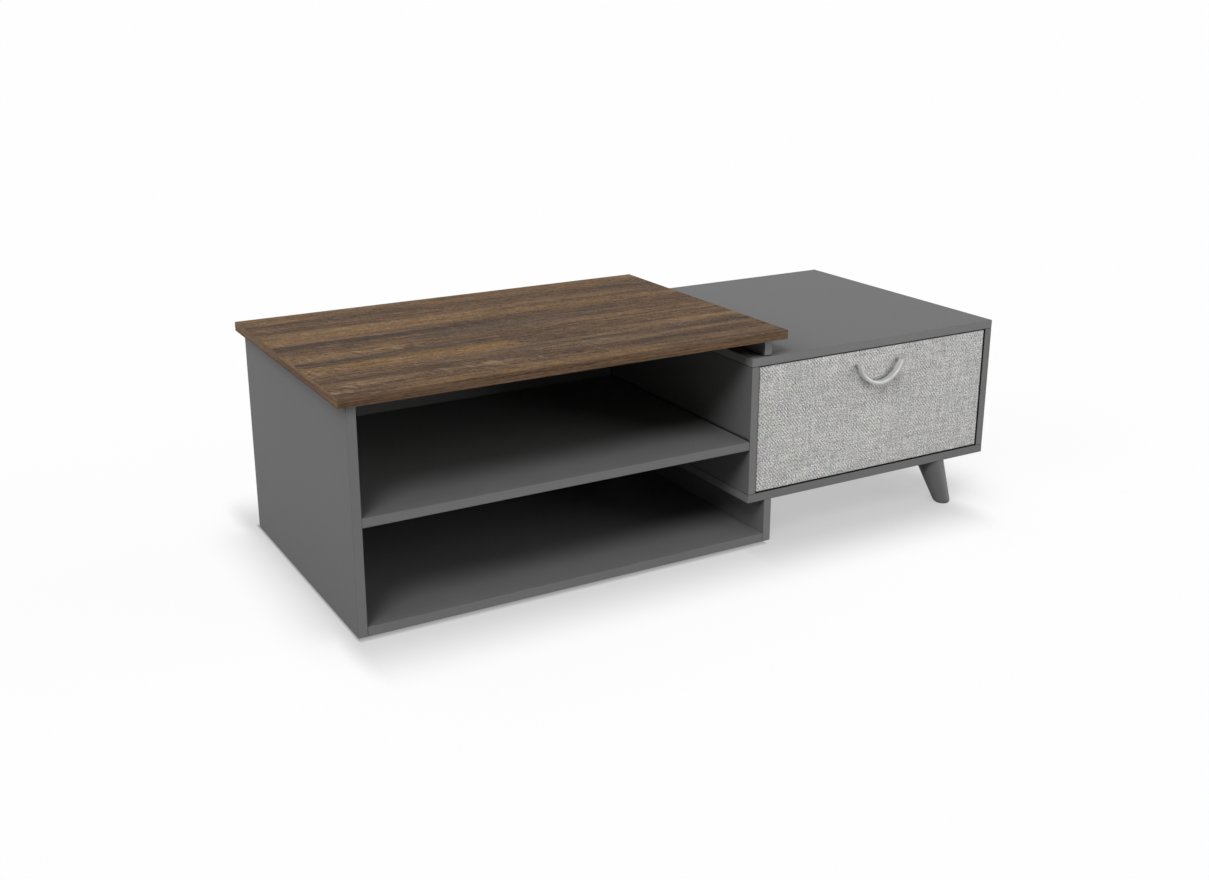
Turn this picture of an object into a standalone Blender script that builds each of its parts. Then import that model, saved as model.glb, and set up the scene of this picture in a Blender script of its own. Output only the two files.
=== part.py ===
# Low side table: an open two-level cabinet under a wood-look top, and a drawer
# box that reaches out to the right over two splayed legs.
# All lengths are in metres, +Z is up and the drawer opens towards -Y.

import math

import bmesh
import bpy
from mathutils import Matrix, Vector

for thing in list(bpy.data.objects):
    bpy.data.objects.remove(thing, do_unlink=True)

# Gaps and small edge sizes shared by all pieces
seat_gap = 0.0003
edge_chamfer = 0.0007
fine_chamfer = 0.0003
cut_overrun = 0.002

# Cabinet: boards of one thickness, standing on the floor
board = 0.018
cabinet_width = 0.900
cabinet_depth = 0.600
cabinet_height = 0.432
shelf_rise = 0.207
back_inset = 0.026

# Wood-look top, its overhangs past the cabinet and its edge band
top_thick = 0.018
over_left = 0.017
over_right = 0.019
over_front = 0.010
over_back = 0.005
band_thick = 0.001

# Drawer box: how far it lies over the cabinet's right end and reaches past its
# back, how high it hangs, and the ledge left free below the wood top
box_over_cabinet = 0.059
box_width = 0.647
box_past_back = 0.025
box_rise = 0.092
ledge_height = 0.0335
ledge_width = 0.034
spacer_setback = 0.007

# Drawer: a linen-faced front on a box of thinner boards
front_gap = 0.003
front_recess = 0.002
front_board = 0.016
facing_thick = 0.0012
drawer_board = 0.016
drawer_floor_clear = 0.014
drawer_roof_clear = 0.0365
drawer_back_clear = 0.067
sheet_thick = 0.003
groove_depth = 0.006
groove_rise = 0.012

# Slides: three nested steel channels with ball cages between them
slide_space = 0.013
slide_height = 0.045
slide_sheet = 0.0012
slide_back_clear = 0.087
outer_flange = 0.0095
middle_web_in = 0.0043
middle_flange = 0.0075
inner_flange = 0.0051
ball_radius = 0.0016
cage_sheet = 0.0008
cage_web_gap = 0.0010
inner_cage_web_gap = 0.0006
cage_flange = 0.0065
inner_cage_flange = 0.0045
middle_short = 0.010
travel_share = 0.90
cage_length_share = 0.40
cage_start_share = 0.33
balls_per_row = 4

# Bow handle: an upright strap bent to an arc, with a foot at each end
handle_drop = 0.0135
bow_radius = 0.0582
bow_end_angle = math.radians(15.0)
strap_thick = 0.0090
strap_end_thick = 0.0048
strap_depth = 0.0125
strap_corner = 0.0012
grip_gap = 0.0075
foot_angle = math.radians(6.5)
foot_blend_angle = math.radians(3.5)
foot_screw_angle = math.radians(3.4)
bow_steps = 60

# Splayed leg: round sections that lean out towards the front or the back
leg_top_radius = 0.032
leg_foot_radius = 0.018
leg_foot_round = 0.007
leg_edge_inset = 0.0015
leg_lean = 0.0485
leg_lean_side = 0.003
leg_right_inset = 0.127
leg_sides = 28
leg_round_steps = 4

# Cam fittings: a disc let into one board pulls on a bolt screwed into the next
cam_radius = 0.0075
cam_depth = 0.0125
cam_from_edge = 0.034
cam_slot_long = 0.004
cam_slot_wide = 0.0007
cam_slot_deep = 0.0015
cam_from_end = 0.060
drawer_cam_from_top = 0.050
bolt_thread_radius = 0.0021
bolt_thread_length = 0.0105
bolt_shank_radius = 0.0032
bolt_neck_radius = 0.0018
bolt_neck_length = 0.0045
bolt_head_length = 0.0030

# Screws: head radius, head length, shank radius
slide_screw_head = 0.0034
slide_screw_cap = 0.0016
slide_screw_shank = 0.0016
slide_screw_length = 0.013
slide_screw_first = 0.030
slide_screw_last = 0.060
handle_screw_head = 0.0028
handle_screw_cap = 0.0019
handle_screw_shank = 0.0015
handle_screw_grip = 0.006
spacer_screw_head = 0.0050
spacer_screw_shank = 0.0025
spacer_screw_in_top = 0.010
spacer_screw_from_end = 0.080
leg_bolt_head = 0.0085
leg_bolt_shank = 0.0040
leg_bolt_in_leg = 0.024
back_screw_head = 0.0048
back_screw_shank = 0.0024
back_screw_in_back = 0.034
back_screw_from_edge = 0.045

# Sides of the drawn circles
bore_sides = 8
rod_sides = 8
cam_sides = 12
screw_sides = 12
ball_segments = 8
ball_rings = 5

# Edges sharper than these angles stay sharp on round pieces
turned_sharp_angle = math.radians(40.0)
strap_sharp_angle = math.radians(50.0)

# Places that follow from the sizes above
cabinet_inner_left = board
cabinet_inner_right = cabinet_width - board
top_surface = cabinet_height + top_thick
shelf_top = shelf_rise + board
back_front = cabinet_depth - back_inset - board
box_start = cabinet_width - box_over_cabinet
box_end = box_start + box_width
box_depth = cabinet_depth + box_past_back
box_top = cabinet_height - ledge_height
box_inner_left = box_start + board
box_inner_right = box_end - board
box_inner_floor = box_rise + board
box_inner_roof = box_top - board
box_inner_back = box_depth - board
front_face = front_recess
front_board_face = front_face + facing_thick + seat_gap
front_back = front_board_face + front_board
drawer_side_front = front_back + seat_gap
drawer_side_back = box_inner_back - drawer_back_clear
drawer_outer_left = box_inner_left + slide_space
drawer_outer_right = box_inner_right - slide_space
drawer_low = box_inner_floor + drawer_floor_clear
drawer_high = box_inner_roof - drawer_roof_clear
slide_front = drawer_side_front + slide_sheet
slide_length = box_inner_back - slide_back_clear - slide_front
slide_back = slide_front + slide_length
slide_level = (drawer_low + drawer_high) / 2
travel = slide_length * travel_share
box_centre = (box_start + box_end) / 2

# The frame's origin: bottom centre of the whole table
origin_x = (box_end - over_left) / 2
origin_y = box_depth / 2
frame_origin = Vector((origin_x, origin_y, 0))

AXIS_X = Vector((1, 0, 0))
AXIS_Y = Vector((0, 1, 0))
AXIS_Z = Vector((0, 0, 1))


def material(name, colour, roughness, metallic=0.0):
    mat = bpy.data.materials.new(name)
    mat.use_nodes = True
    shader = mat.node_tree.nodes["Principled BSDF"]
    shader.inputs["Base Color"].default_value = (*colour, 1.0)
    shader.inputs["Roughness"].default_value = roughness
    shader.inputs["Metallic"].default_value = metallic
    return mat


walnut = material("walnut_laminate", (0.16, 0.10, 0.065), 0.45)
grey = material("grey_laminate", (0.125, 0.125, 0.127), 0.5)
grey_leg = material("grey_painted_leg", (0.10, 0.10, 0.10), 0.45)
linen = material("linen_facing", (0.47, 0.46, 0.45), 0.9)
pale_board = material("pale_grey_board", (0.42, 0.42, 0.41), 0.6)
hardboard = material("pale_hardboard", (0.45, 0.44, 0.42), 0.7)
handle_grey = material("handle_grey", (0.42, 0.43, 0.43), 0.35, 0.3)
zinc = material("zinc_plated_steel", (0.55, 0.56, 0.57), 0.35, 1.0)
cast_zinc = material("cast_zinc", (0.42, 0.42, 0.43), 0.45, 1.0)


def empty(name, place):
    holder = bpy.data.objects.new(name, None)
    holder.location = Vector(place) - frame_origin
    bpy.context.collection.objects.link(holder)
    return holder


# What slides hangs on an empty on its own slide axis
drawer_carriage = empty("drawer_carriage", (box_centre, front_face, slide_level))


def add_piece(name, mesh, mat, place, holder=None):
    obj = bpy.data.objects.new(name, mesh)
    if not mesh.materials:
        mesh.materials.append(mat)
    obj.location = Vector(place) - frame_origin
    bpy.context.collection.objects.link(obj)
    if holder:
        obj.parent = holder
        obj.location = obj.location - holder.location
    return obj


def mesh_from(bm, name, smooth_angle=None):
    bmesh.ops.recalc_face_normals(bm, faces=bm.faces)
    mesh = bpy.data.meshes.new(name)
    bm.to_mesh(mesh)
    bm.free()
    if smooth_angle:
        mesh.shade_smooth()
        mesh.set_sharp_from_angle(angle=smooth_angle)
    return mesh


def box_into(bm, low, high):
    size = Vector(high) - Vector(low)
    middle = (Vector(high) + Vector(low)) / 2
    matrix = Matrix.Translation(middle) @ Matrix.Diagonal((*size, 1))
    bmesh.ops.create_cube(bm, size=1, matrix=matrix)


def turn_onto(start, direction):
    turn = AXIS_Z.rotation_difference(Vector(direction)).to_matrix().to_4x4()
    return Matrix.Translation(Vector(start)) @ turn


def turned_into(bm, start, direction, profile, sides):
    """Adds a closed turned solid: profile holds (distance along the axis, radius)."""
    place = turn_onto(start, direction)
    rings = []
    for along, radius in profile:
        ring = []
        for step in range(sides):
            angle = 2 * math.pi * (step + 0.5) / sides
            point = Vector((radius * math.cos(angle), radius * math.sin(angle), along))
            ring.append(bm.verts.new(place @ point))
        rings.append(ring)
    for near, far in zip(rings, rings[1:]):
        for step in range(sides):
            after = (step + 1) % sides
            bm.faces.new((near[step], near[after], far[after], far[step]))
    bm.faces.new(list(reversed(rings[0])))
    bm.faces.new(rings[-1])


def hole_radius(radius, sides=bore_sides):
    """The corner radius of a drawn hole whose flats clear a rod by the seat gap."""
    return (radius + seat_gap) / math.cos(math.pi / sides)


# Holes wait here until every joint is laid out: board name to two lists of shapes
wide_holes = {}
narrow_holes = {}


def drill(store, name, start, direction, length, radius, sides):
    store.setdefault(name, []).append((Vector(start), Vector(direction), length, radius, sides))


def board_piece(name, low, high, mat, holder=None, chamfer=edge_chamfer):
    """A board between two corners, with finely broken edges."""
    low = Vector(low)
    high = Vector(high)
    middle = (low + high) / 2
    bm = bmesh.new()
    box_into(bm, low - middle, high - middle)
    obj = add_piece(name, mesh_from(bm, name), mat, middle, holder)
    bevel = obj.modifiers.new("edges", "BEVEL")
    bevel.width = chamfer
    bevel.segments = 1
    bevel.limit_method = "ANGLE"
    return obj


def cut(obj, cutter_mesh, label, operation="DIFFERENCE"):
    """Cuts obj by a mesh whose points are in the table's own layout frame."""
    cutter = bpy.data.objects.new(obj.name + "_" + label, cutter_mesh)
    cutter.location = -frame_origin
    cutter.hide_render = True
    cutter.display_type = "WIRE"
    bpy.context.collection.objects.link(cutter)
    boolean = obj.modifiers.new(label, "BOOLEAN")
    boolean.operation = operation
    boolean.solver = "EXACT"
    boolean.object = cutter


def cut_box(obj, low, high, label):
    bm = bmesh.new()
    box_into(bm, low, high)
    cut(obj, mesh_from(bm, label), label)


def drill_all(boards):
    for store, label in ((wide_holes, "wide_holes"), (narrow_holes, "narrow_holes")):
        for name, shapes in store.items():
            bm = bmesh.new()
            for start, direction, length, radius, sides in shapes:
                turned_into(bm, start, direction, ((0, radius), (length, radius)), sides)
            cut(boards[name], mesh_from(bm, label), label)


boards = {}


def keep(obj):
    boards[obj.name] = obj
    return obj


# Cabinet boards

keep(board_piece(
    "left_side_panel",
    (0, 0, 0),
    (board, cabinet_depth, cabinet_height - seat_gap),
    grey,
))
keep(board_piece(
    "bottom_panel",
    (cabinet_inner_left + seat_gap, 0, 0),
    (cabinet_inner_right - seat_gap, cabinet_depth, board),
    grey,
))
keep(board_piece(
    "lower_right_panel",
    (cabinet_inner_right, 0, 0),
    (cabinet_width, cabinet_depth, box_rise - seat_gap),
    grey,
))
keep(board_piece(
    "middle_shelf",
    (cabinet_inner_left + seat_gap, 0, shelf_rise),
    (box_start - seat_gap, cabinet_depth, shelf_top),
    grey,
))
keep(board_piece(
    "upper_back_panel",
    (cabinet_inner_left + seat_gap, back_front, shelf_top + seat_gap),
    (box_start - seat_gap, back_front + board, cabinet_height - seat_gap),
    grey,
))
keep(board_piece(
    "lower_back_panel",
    (cabinet_inner_left + seat_gap, back_front, board + seat_gap),
    (box_start - seat_gap, back_front + board, shelf_rise - seat_gap),
    grey,
))

# Wood-look top and the band glued round its edge

top_low_x = -over_left
top_high_x = cabinet_width + over_right
top_low_y = -over_front
top_high_y = cabinet_depth + over_back
band_in = band_thick + seat_gap
keep(board_piece(
    "wood_top",
    (top_low_x + band_in, top_low_y + band_in, cabinet_height),
    (top_high_x - band_in, top_high_y - band_in, top_surface),
    walnut,
    chamfer=fine_chamfer,
))


def edge_band():
    corners = (
        (top_low_x, top_low_y),
        (top_high_x, top_low_y),
        (top_high_x, top_high_y),
        (top_low_x, top_high_y),
    )
    centre = Vector(((top_low_x + top_high_x) / 2, (top_low_y + top_high_y) / 2, cabinet_height))
    bm = bmesh.new()
    rings = []
    for inward, z in ((0, 0), (0, top_thick), (band_thick, top_thick), (band_thick, 0)):
        ring = []
        for x, y in corners:
            side_x = math.copysign(inward, centre.x - x)
            side_y = math.copysign(inward, centre.y - y)
            ring.append(bm.verts.new((x + side_x - centre.x, y + side_y - centre.y, z)))
        rings.append(ring)
    for index, ring in enumerate(rings):
        other = rings[(index + 1) % len(rings)]
        for corner in range(len(corners)):
            after = (corner + 1) % len(corners)
            bm.faces.new((ring[corner], ring[after], other[after], other[corner]))
    obj = add_piece("wood_top_edge_band", mesh_from(bm, "edge_band"), walnut, centre)
    bevel = obj.modifiers.new("edges", "BEVEL")
    bevel.width = fine_chamfer
    bevel.segments = 1
    bevel.limit_method = "ANGLE"


edge_band()

# Drawer box boards and the spacer that carries the wood top on it

keep(board_piece(
    "box_top_panel",
    (box_start, 0, box_inner_roof),
    (box_end, box_depth, box_top),
    grey,
))
keep(board_piece(
    "box_bottom_panel",
    (box_start, 0, box_rise),
    (box_end, box_depth, box_inner_floor),
    grey,
))
keep(board_piece(
    "box_left_panel",
    (box_start, 0, box_inner_floor + seat_gap),
    (box_inner_left, box_depth, box_inner_roof - seat_gap),
    grey,
))
keep(board_piece(
    "box_right_panel",
    (box_inner_right, 0, box_inner_floor + seat_gap),
    (box_end, box_depth, box_inner_roof - seat_gap),
    grey,
))
keep(board_piece(
    "box_back_panel",
    (box_inner_left + seat_gap, box_inner_back, box_inner_floor + seat_gap),
    (box_inner_right - seat_gap, box_depth, box_inner_roof - seat_gap),
    grey,
))
spacer_left = box_start + ledge_width
keep(board_piece(
    "spacer_panel",
    (spacer_left, spacer_setback, box_top + seat_gap),
    (spacer_left + board, cabinet_depth, cabinet_height - seat_gap),
    grey,
))

# Drawer boards

front_low = (box_inner_left + front_gap, box_inner_floor + front_gap)
front_high = (box_inner_right - front_gap, box_inner_roof - front_gap)
keep(board_piece(
    "drawer_front_board",
    (front_low[0], front_board_face, front_low[1]),
    (front_high[0], front_back, front_high[1]),
    pale_board,
    drawer_carriage,
))
keep(board_piece(
    "drawer_linen_facing",
    (front_low[0], front_face, front_low[1]),
    (front_high[0], front_face + facing_thick, front_high[1]),
    linen,
    drawer_carriage,
    chamfer=fine_chamfer,
))
keep(board_piece(
    "drawer_left_side",
    (drawer_outer_left, drawer_side_front, drawer_low),
    (drawer_outer_left + drawer_board, drawer_side_back, drawer_high),
    pale_board,
    drawer_carriage,
))
keep(board_piece(
    "drawer_right_side",
    (drawer_outer_right - drawer_board, drawer_side_front, drawer_low),
    (drawer_outer_right, drawer_side_back, drawer_high),
    pale_board,
    drawer_carriage,
))
sheet_low = drawer_low + groove_rise
sheet_high = sheet_low + sheet_thick
drawer_inner_left = drawer_outer_left + drawer_board
drawer_inner_right = drawer_outer_right - drawer_board
keep(board_piece(
    "drawer_back",
    (drawer_inner_left + seat_gap, drawer_side_back - drawer_board, sheet_high + seat_gap),
    (drawer_inner_right - seat_gap, drawer_side_back, drawer_high),
    pale_board,
    drawer_carriage,
))
sheet_reach = groove_depth - seat_gap
keep(board_piece(
    "drawer_bottom",
    (drawer_inner_left - sheet_reach, front_back - sheet_reach, sheet_low),
    (drawer_inner_right + sheet_reach, drawer_side_back - seat_gap, sheet_high),
    hardboard,
    drawer_carriage,
    chamfer=fine_chamfer,
))


def groove(name, low_x, high_x, low_y, high_y):
    """Cuts the groove that holds the drawer's bottom sheet."""
    cut_box(
        boards[name],
        (low_x, low_y, sheet_low - seat_gap),
        (high_x, high_y, sheet_high + seat_gap),
        "sheet_groove",
    )


groove_low_y = drawer_side_front - cut_overrun
groove_high_y = drawer_side_back + cut_overrun
groove(
    "drawer_left_side",
    drawer_inner_left - groove_depth,
    drawer_inner_left + cut_overrun,
    groove_low_y,
    groove_high_y,
)
groove(
    "drawer_right_side",
    drawer_inner_right - cut_overrun,
    drawer_inner_right + groove_depth,
    groove_low_y,
    groove_high_y,
)
groove(
    "drawer_front_board",
    drawer_inner_left - groove_depth,
    drawer_inner_right + groove_depth,
    front_back - groove_depth,
    front_back + cut_overrun,
)

# Cam fittings

bolt_length = cam_from_edge - seat_gap
bolt_neck_end = bolt_length - bolt_head_length
bolt_shank_end = bolt_neck_end - bolt_neck_length
bolt_profile = (
    (-bolt_thread_length, bolt_neck_radius),
    (0, bolt_thread_radius),
    (seat_gap, bolt_shank_radius),
    (bolt_shank_end, bolt_shank_radius),
    (bolt_shank_end, bolt_neck_radius),
    (bolt_neck_end, bolt_neck_radius),
    (bolt_neck_end, bolt_shank_radius),
    (bolt_length, bolt_neck_radius),
)


def turned_mesh(name, profile, sides):
    """A turned solid along +Z, as a mesh that several objects can share."""
    bm = bmesh.new()
    turned_into(bm, (0, 0, 0), AXIS_Z, profile, sides)
    return mesh_from(bm, name, turned_sharp_angle)


def cam_mesh(name, thick):
    """One cam: a disc, open below and to one side for the bolt's head, slotted on top."""
    profile = ((-cam_depth, cam_radius), (-seat_gap, cam_radius))
    mould = bpy.data.objects.new("cam_mould", turned_mesh("cam_mould", profile, cam_sides))
    bpy.context.collection.objects.link(mould)
    bm = bmesh.new()
    half_slot = bolt_shank_radius + seat_gap
    box_into(
        bm,
        (-half_slot, -half_slot, -cam_depth - cut_overrun),
        (cam_radius + cut_overrun, half_slot, half_slot - thick / 2),
    )
    box_into(
        bm,
        (-cam_slot_long, -cam_slot_wide, -cam_slot_deep),
        (cam_slot_long, cam_slot_wide, cut_overrun),
    )
    tool = bpy.data.objects.new("cam_tool", mesh_from(bm, "cam_tool"))
    bpy.context.collection.objects.link(tool)
    boolean = mould.modifiers.new("slot", "BOOLEAN")
    boolean.operation = "DIFFERENCE"
    boolean.solver = "EXACT"
    boolean.object = tool
    graph = bpy.context.evaluated_depsgraph_get()
    mesh = bpy.data.meshes.new_from_object(mould.evaluated_get(graph))
    mesh.name = name
    bpy.data.objects.remove(mould, do_unlink=True)
    bpy.data.objects.remove(tool, do_unlink=True)
    return mesh


def add_fastener(name, mesh, mat, start, direction, holder=None):
    """Places a turned mesh with its own axis along direction."""
    obj = add_piece(name, mesh, mat, start, holder)
    obj.rotation_mode = "QUATERNION"
    obj.rotation_quaternion = AXIS_Z.rotation_difference(Vector(direction))
    return obj


cam_bolt_mesh = turned_mesh("cam_bolt", bolt_profile, rod_sides)
carcass_cam_mesh = cam_mesh("carcass_cam", board)
drawer_cam_mesh = cam_mesh("drawer_cam", drawer_board)


def add_cam(label, mesh, boards_joined, point, inward, face, thick, holder=None):
    """A cam in the first board pulls a bolt in the second; inward runs into the first."""
    end_board, face_board = boards_joined
    point = Vector(point)
    centre = point + inward * cam_from_edge + face * (thick / 2)
    cam = add_piece(label + "_cam", mesh, cast_zinc, centre, holder)
    side = face.cross(-inward)
    cam.rotation_mode = "QUATERNION"
    cam.rotation_quaternion = Matrix((-inward, side, face)).transposed().to_quaternion()
    add_fastener(label + "_cam_bolt", cam_bolt_mesh, zinc, point, inward, holder)
    drill(
        wide_holes, end_board, centre + face * cut_overrun, -face,
        cut_overrun + cam_depth + seat_gap, hole_radius(cam_radius, cam_sides), cam_sides,
    )
    drill(
        narrow_holes, end_board, point - inward * cut_overrun, inward,
        cut_overrun + cam_from_edge, hole_radius(bolt_shank_radius), bore_sides,
    )
    drill(
        narrow_holes, face_board, point + inward * cut_overrun, -inward,
        cut_overrun + bolt_thread_length + seat_gap, hole_radius(bolt_thread_radius), bore_sides,
    )


# The wood top is pulled down on the left panel by two cams on the panel's inner face
for label, y in (
    ("wood_top_front", cam_from_end),
    ("wood_top_rear", cabinet_depth - cam_from_end),
):
    add_cam(
        label, carcass_cam_mesh, ("left_side_panel", "wood_top"),
        (board / 2, y, cabinet_height), -AXIS_Z, AXIS_X, board,
    )

# The drawer's front is held to each side by a cam on the side's outer face
for label, x, face in (
    ("drawer_left", drawer_outer_left + drawer_board / 2, -AXIS_X),
    ("drawer_right", drawer_outer_right - drawer_board / 2, AXIS_X),
):
    add_cam(
        label, drawer_cam_mesh, (label + "_side", "drawer_front_board"),
        (x, front_back, drawer_high - drawer_cam_from_top),
        AXIS_Y, face, drawer_board, drawer_carriage,
    )

# Screws and bolts


def pan_screw_mesh(name, head, cap, shank, length):
    """A pan-head screw: the head stands off its seat at zero, the shank runs along +Z."""
    profile = (
        (-cap, head - cap / 2),
        (-cap / 2, head),
        (0, head),
        (0, shank),
        (length - shank, shank),
        (length, shank / 2),
    )
    return turned_mesh(name, profile, screw_sides)


def flat_screw_mesh(name, head, shank, length):
    """A countersunk screw whose flat head lies just under the surface at zero."""
    profile = (
        (seat_gap, head),
        (seat_gap + head - shank, shank),
        (length - shank, shank),
        (length, shank / 2),
    )
    return turned_mesh(name, profile, screw_sides)


def countersink_into(bm, seat, direction, head, shank):
    """The cone under a countersunk head, cut a seat gap wider than the head."""
    wide = hole_radius(head, screw_sides)
    start = Vector(seat) - direction * cut_overrun
    narrow = hole_radius(shank, screw_sides)
    profile = (
        (0, wide),
        (cut_overrun + seat_gap, wide),
        (cut_overrun + seat_gap + wide - narrow, narrow),
        (cut_overrun + seat_gap + wide, narrow),
    )
    turned_into(bm, start, direction, profile, screw_sides)


def sink_heads(name, places, direction, head, shank):
    bm = bmesh.new()
    for place in places:
        countersink_into(bm, place, direction, head, shank)
    cut(boards[name], mesh_from(bm, name + "_cones"), "head_cones")


# Long screws from inside the box, through its top and the spacer, into the wood top
spacer_middle = spacer_left + board / 2
spacer_screw_length = cabinet_height - box_inner_roof + spacer_screw_in_top
spacer_screw_mesh = flat_screw_mesh(
    "spacer_screw", spacer_screw_head, spacer_screw_shank, spacer_screw_length,
)
spacer_places = []
for label, y in (
    ("front", spacer_setback + spacer_screw_from_end),
    ("rear", cabinet_depth - spacer_screw_from_end),
):
    place = Vector((spacer_middle, y, box_inner_roof))
    spacer_places.append(place)
    add_fastener(label + "_spacer_screw", spacer_screw_mesh, zinc, place, AXIS_Z)
    for name in ("box_top_panel", "spacer_panel", "wood_top"):
        drill(
            narrow_holes, name, place - AXIS_Z * cut_overrun, AXIS_Z,
            cut_overrun + spacer_screw_length + seat_gap,
            hole_radius(spacer_screw_shank, screw_sides), screw_sides,
        )

# Leg bolts, from the box's floor down into the legs
leg_x = box_end - leg_right_inset
leg_top_y = leg_top_radius + leg_edge_inset
leg_tops = {
    "front_leg": (Vector((leg_x, leg_top_y, box_rise)), -1),
    "rear_leg": (Vector((leg_x, box_depth - leg_top_y, box_rise)), 1),
}
leg_bolt_length = board + leg_bolt_in_leg
leg_bolt_mesh = flat_screw_mesh("leg_bolt", leg_bolt_head, leg_bolt_shank, leg_bolt_length)
leg_bolt_places = []
for label, (top, way) in leg_tops.items():
    place = Vector((top.x, top.y, box_inner_floor))
    leg_bolt_places.append(place)
    add_fastener(label + "_bolt", leg_bolt_mesh, zinc, place, -AXIS_Z)
    drill(
        narrow_holes, "box_bottom_panel", place + AXIS_Z * cut_overrun, -AXIS_Z,
        cut_overrun + board + cut_overrun, hole_radius(leg_bolt_shank, screw_sides), screw_sides,
    )

# Screws through the drawer's sides into its back
back_screw_length = drawer_board + back_screw_in_back
back_screw_y = drawer_side_back - drawer_board / 2
back_screw_mesh = flat_screw_mesh(
    "drawer_back_screw", back_screw_head, back_screw_shank, back_screw_length,
)
back_places = {"drawer_left_side": [], "drawer_right_side": []}
for level, z in (
    ("lower", drawer_low + back_screw_from_edge),
    ("upper", drawer_high - back_screw_from_edge),
):
    for side, x, way in (("left", drawer_outer_left, AXIS_X), ("right", drawer_outer_right, -AXIS_X)):
        place = Vector((x, back_screw_y, z))
        side_board = "drawer_" + side + "_side"
        back_places[side_board].append(place)
        add_fastener(
            "drawer_back_" + side + "_" + level + "_screw",
            back_screw_mesh, zinc, place, way, drawer_carriage,
        )
        for name in (side_board, "drawer_back"):
            drill(
                narrow_holes, name, place - way * cut_overrun, way,
                cut_overrun + back_screw_length + seat_gap,
                hole_radius(back_screw_shank, screw_sides), screw_sides,
            )

# Slides


def channel(name, wall_x, way, level, low_y, high_y, web, flange, half_height, sheet, mat, holder):
    """A pressed channel: web and flange are distances from the side panel, as (near, far)."""
    web_near, web_far = web
    flange_near, flange_far = flange
    inner = half_height - sheet
    if flange_far > web_far:
        outline = (
            (web_near, -half_height), (flange_far, -half_height), (flange_far, -inner),
            (web_far, -inner), (web_far, inner), (flange_far, inner),
            (flange_far, half_height), (web_near, half_height),
        )
    else:
        outline = (
            (web_far, -half_height), (flange_near, -half_height), (flange_near, -inner),
            (web_near, -inner), (web_near, inner), (flange_near, inner),
            (flange_near, half_height), (web_far, half_height),
        )
    bm = bmesh.new()
    middle_y = (low_y + high_y) / 2
    ends = []
    for y in (low_y - middle_y, high_y - middle_y):
        ends.append([bm.verts.new((way * u, y, w)) for u, w in outline])
    count = len(outline)
    for step in range(count):
        after = (step + 1) % count
        bm.faces.new((ends[0][step], ends[0][after], ends[1][after], ends[1][step]))
    bm.faces.new(ends[0])
    bm.faces.new(list(reversed(ends[1])))
    return add_piece(name, mesh_from(bm, name), mat, (wall_x, middle_y, level), holder)


outer_web = (seat_gap, seat_gap + slide_sheet)
outer_half = slide_height / 2
ball_row = 2 * (ball_radius + seat_gap)
middle_half = outer_half - slide_sheet - ball_row
inner_half = middle_half - slide_sheet - ball_row
middle_web = (middle_web_in, middle_web_in + slide_sheet)
inner_web = (slide_space - seat_gap - slide_sheet, slide_space - seat_gap)
outer_cage_web = (outer_web[1] + cage_web_gap, outer_web[1] + cage_web_gap + cage_sheet)
inner_cage_start = middle_web[1] + inner_cage_web_gap
inner_cage_web = (inner_cage_start, inner_cage_start + cage_sheet)
outer_ball_level = middle_half + seat_gap + ball_radius
inner_ball_level = inner_half + seat_gap + ball_radius
cage_length = slide_length * cage_length_share
cage_low = slide_front + slide_length * cage_start_share


def ball_cage(name, wall_x, way, web, flange_reach, level_half, holder):
    """A thin channel that carries one row of balls above and one below."""
    half_height = level_half + cage_sheet / 2
    cage = channel(
        name, wall_x, way, slide_level, cage_low, cage_low + cage_length,
        web, (web[0], web[0] + flange_reach), half_height, cage_sheet, zinc, holder,
    )
    balls = bmesh.new()
    pitch = cage_length / balls_per_row
    across = wall_x + way * (web[0] + web[1] + flange_reach) / 2
    for row in (-1, 1):
        for step in range(balls_per_row):
            place = Vector((across, cage_low + pitch * (step + 0.5), slide_level + row * level_half))
            bmesh.ops.create_uvsphere(
                balls, u_segments=ball_segments, v_segments=ball_rings, radius=ball_radius,
                matrix=Matrix.Translation(place),
            )
    cut(cage, mesh_from(balls, "balls"), "balls", "UNION")


slide_screw_mesh = pan_screw_mesh(
    "slide_screw", slide_screw_head, slide_screw_cap, slide_screw_shank, slide_screw_length,
)


def slide_screw(name, seat, direction, drilled, holder):
    add_fastener(name, slide_screw_mesh, zinc, seat, direction, holder)
    for board_name in drilled:
        drill(
            narrow_holes, board_name, seat - direction * cut_overrun, direction,
            cut_overrun + slide_screw_length + seat_gap,
            hole_radius(slide_screw_shank, screw_sides), screw_sides,
        )


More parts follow.
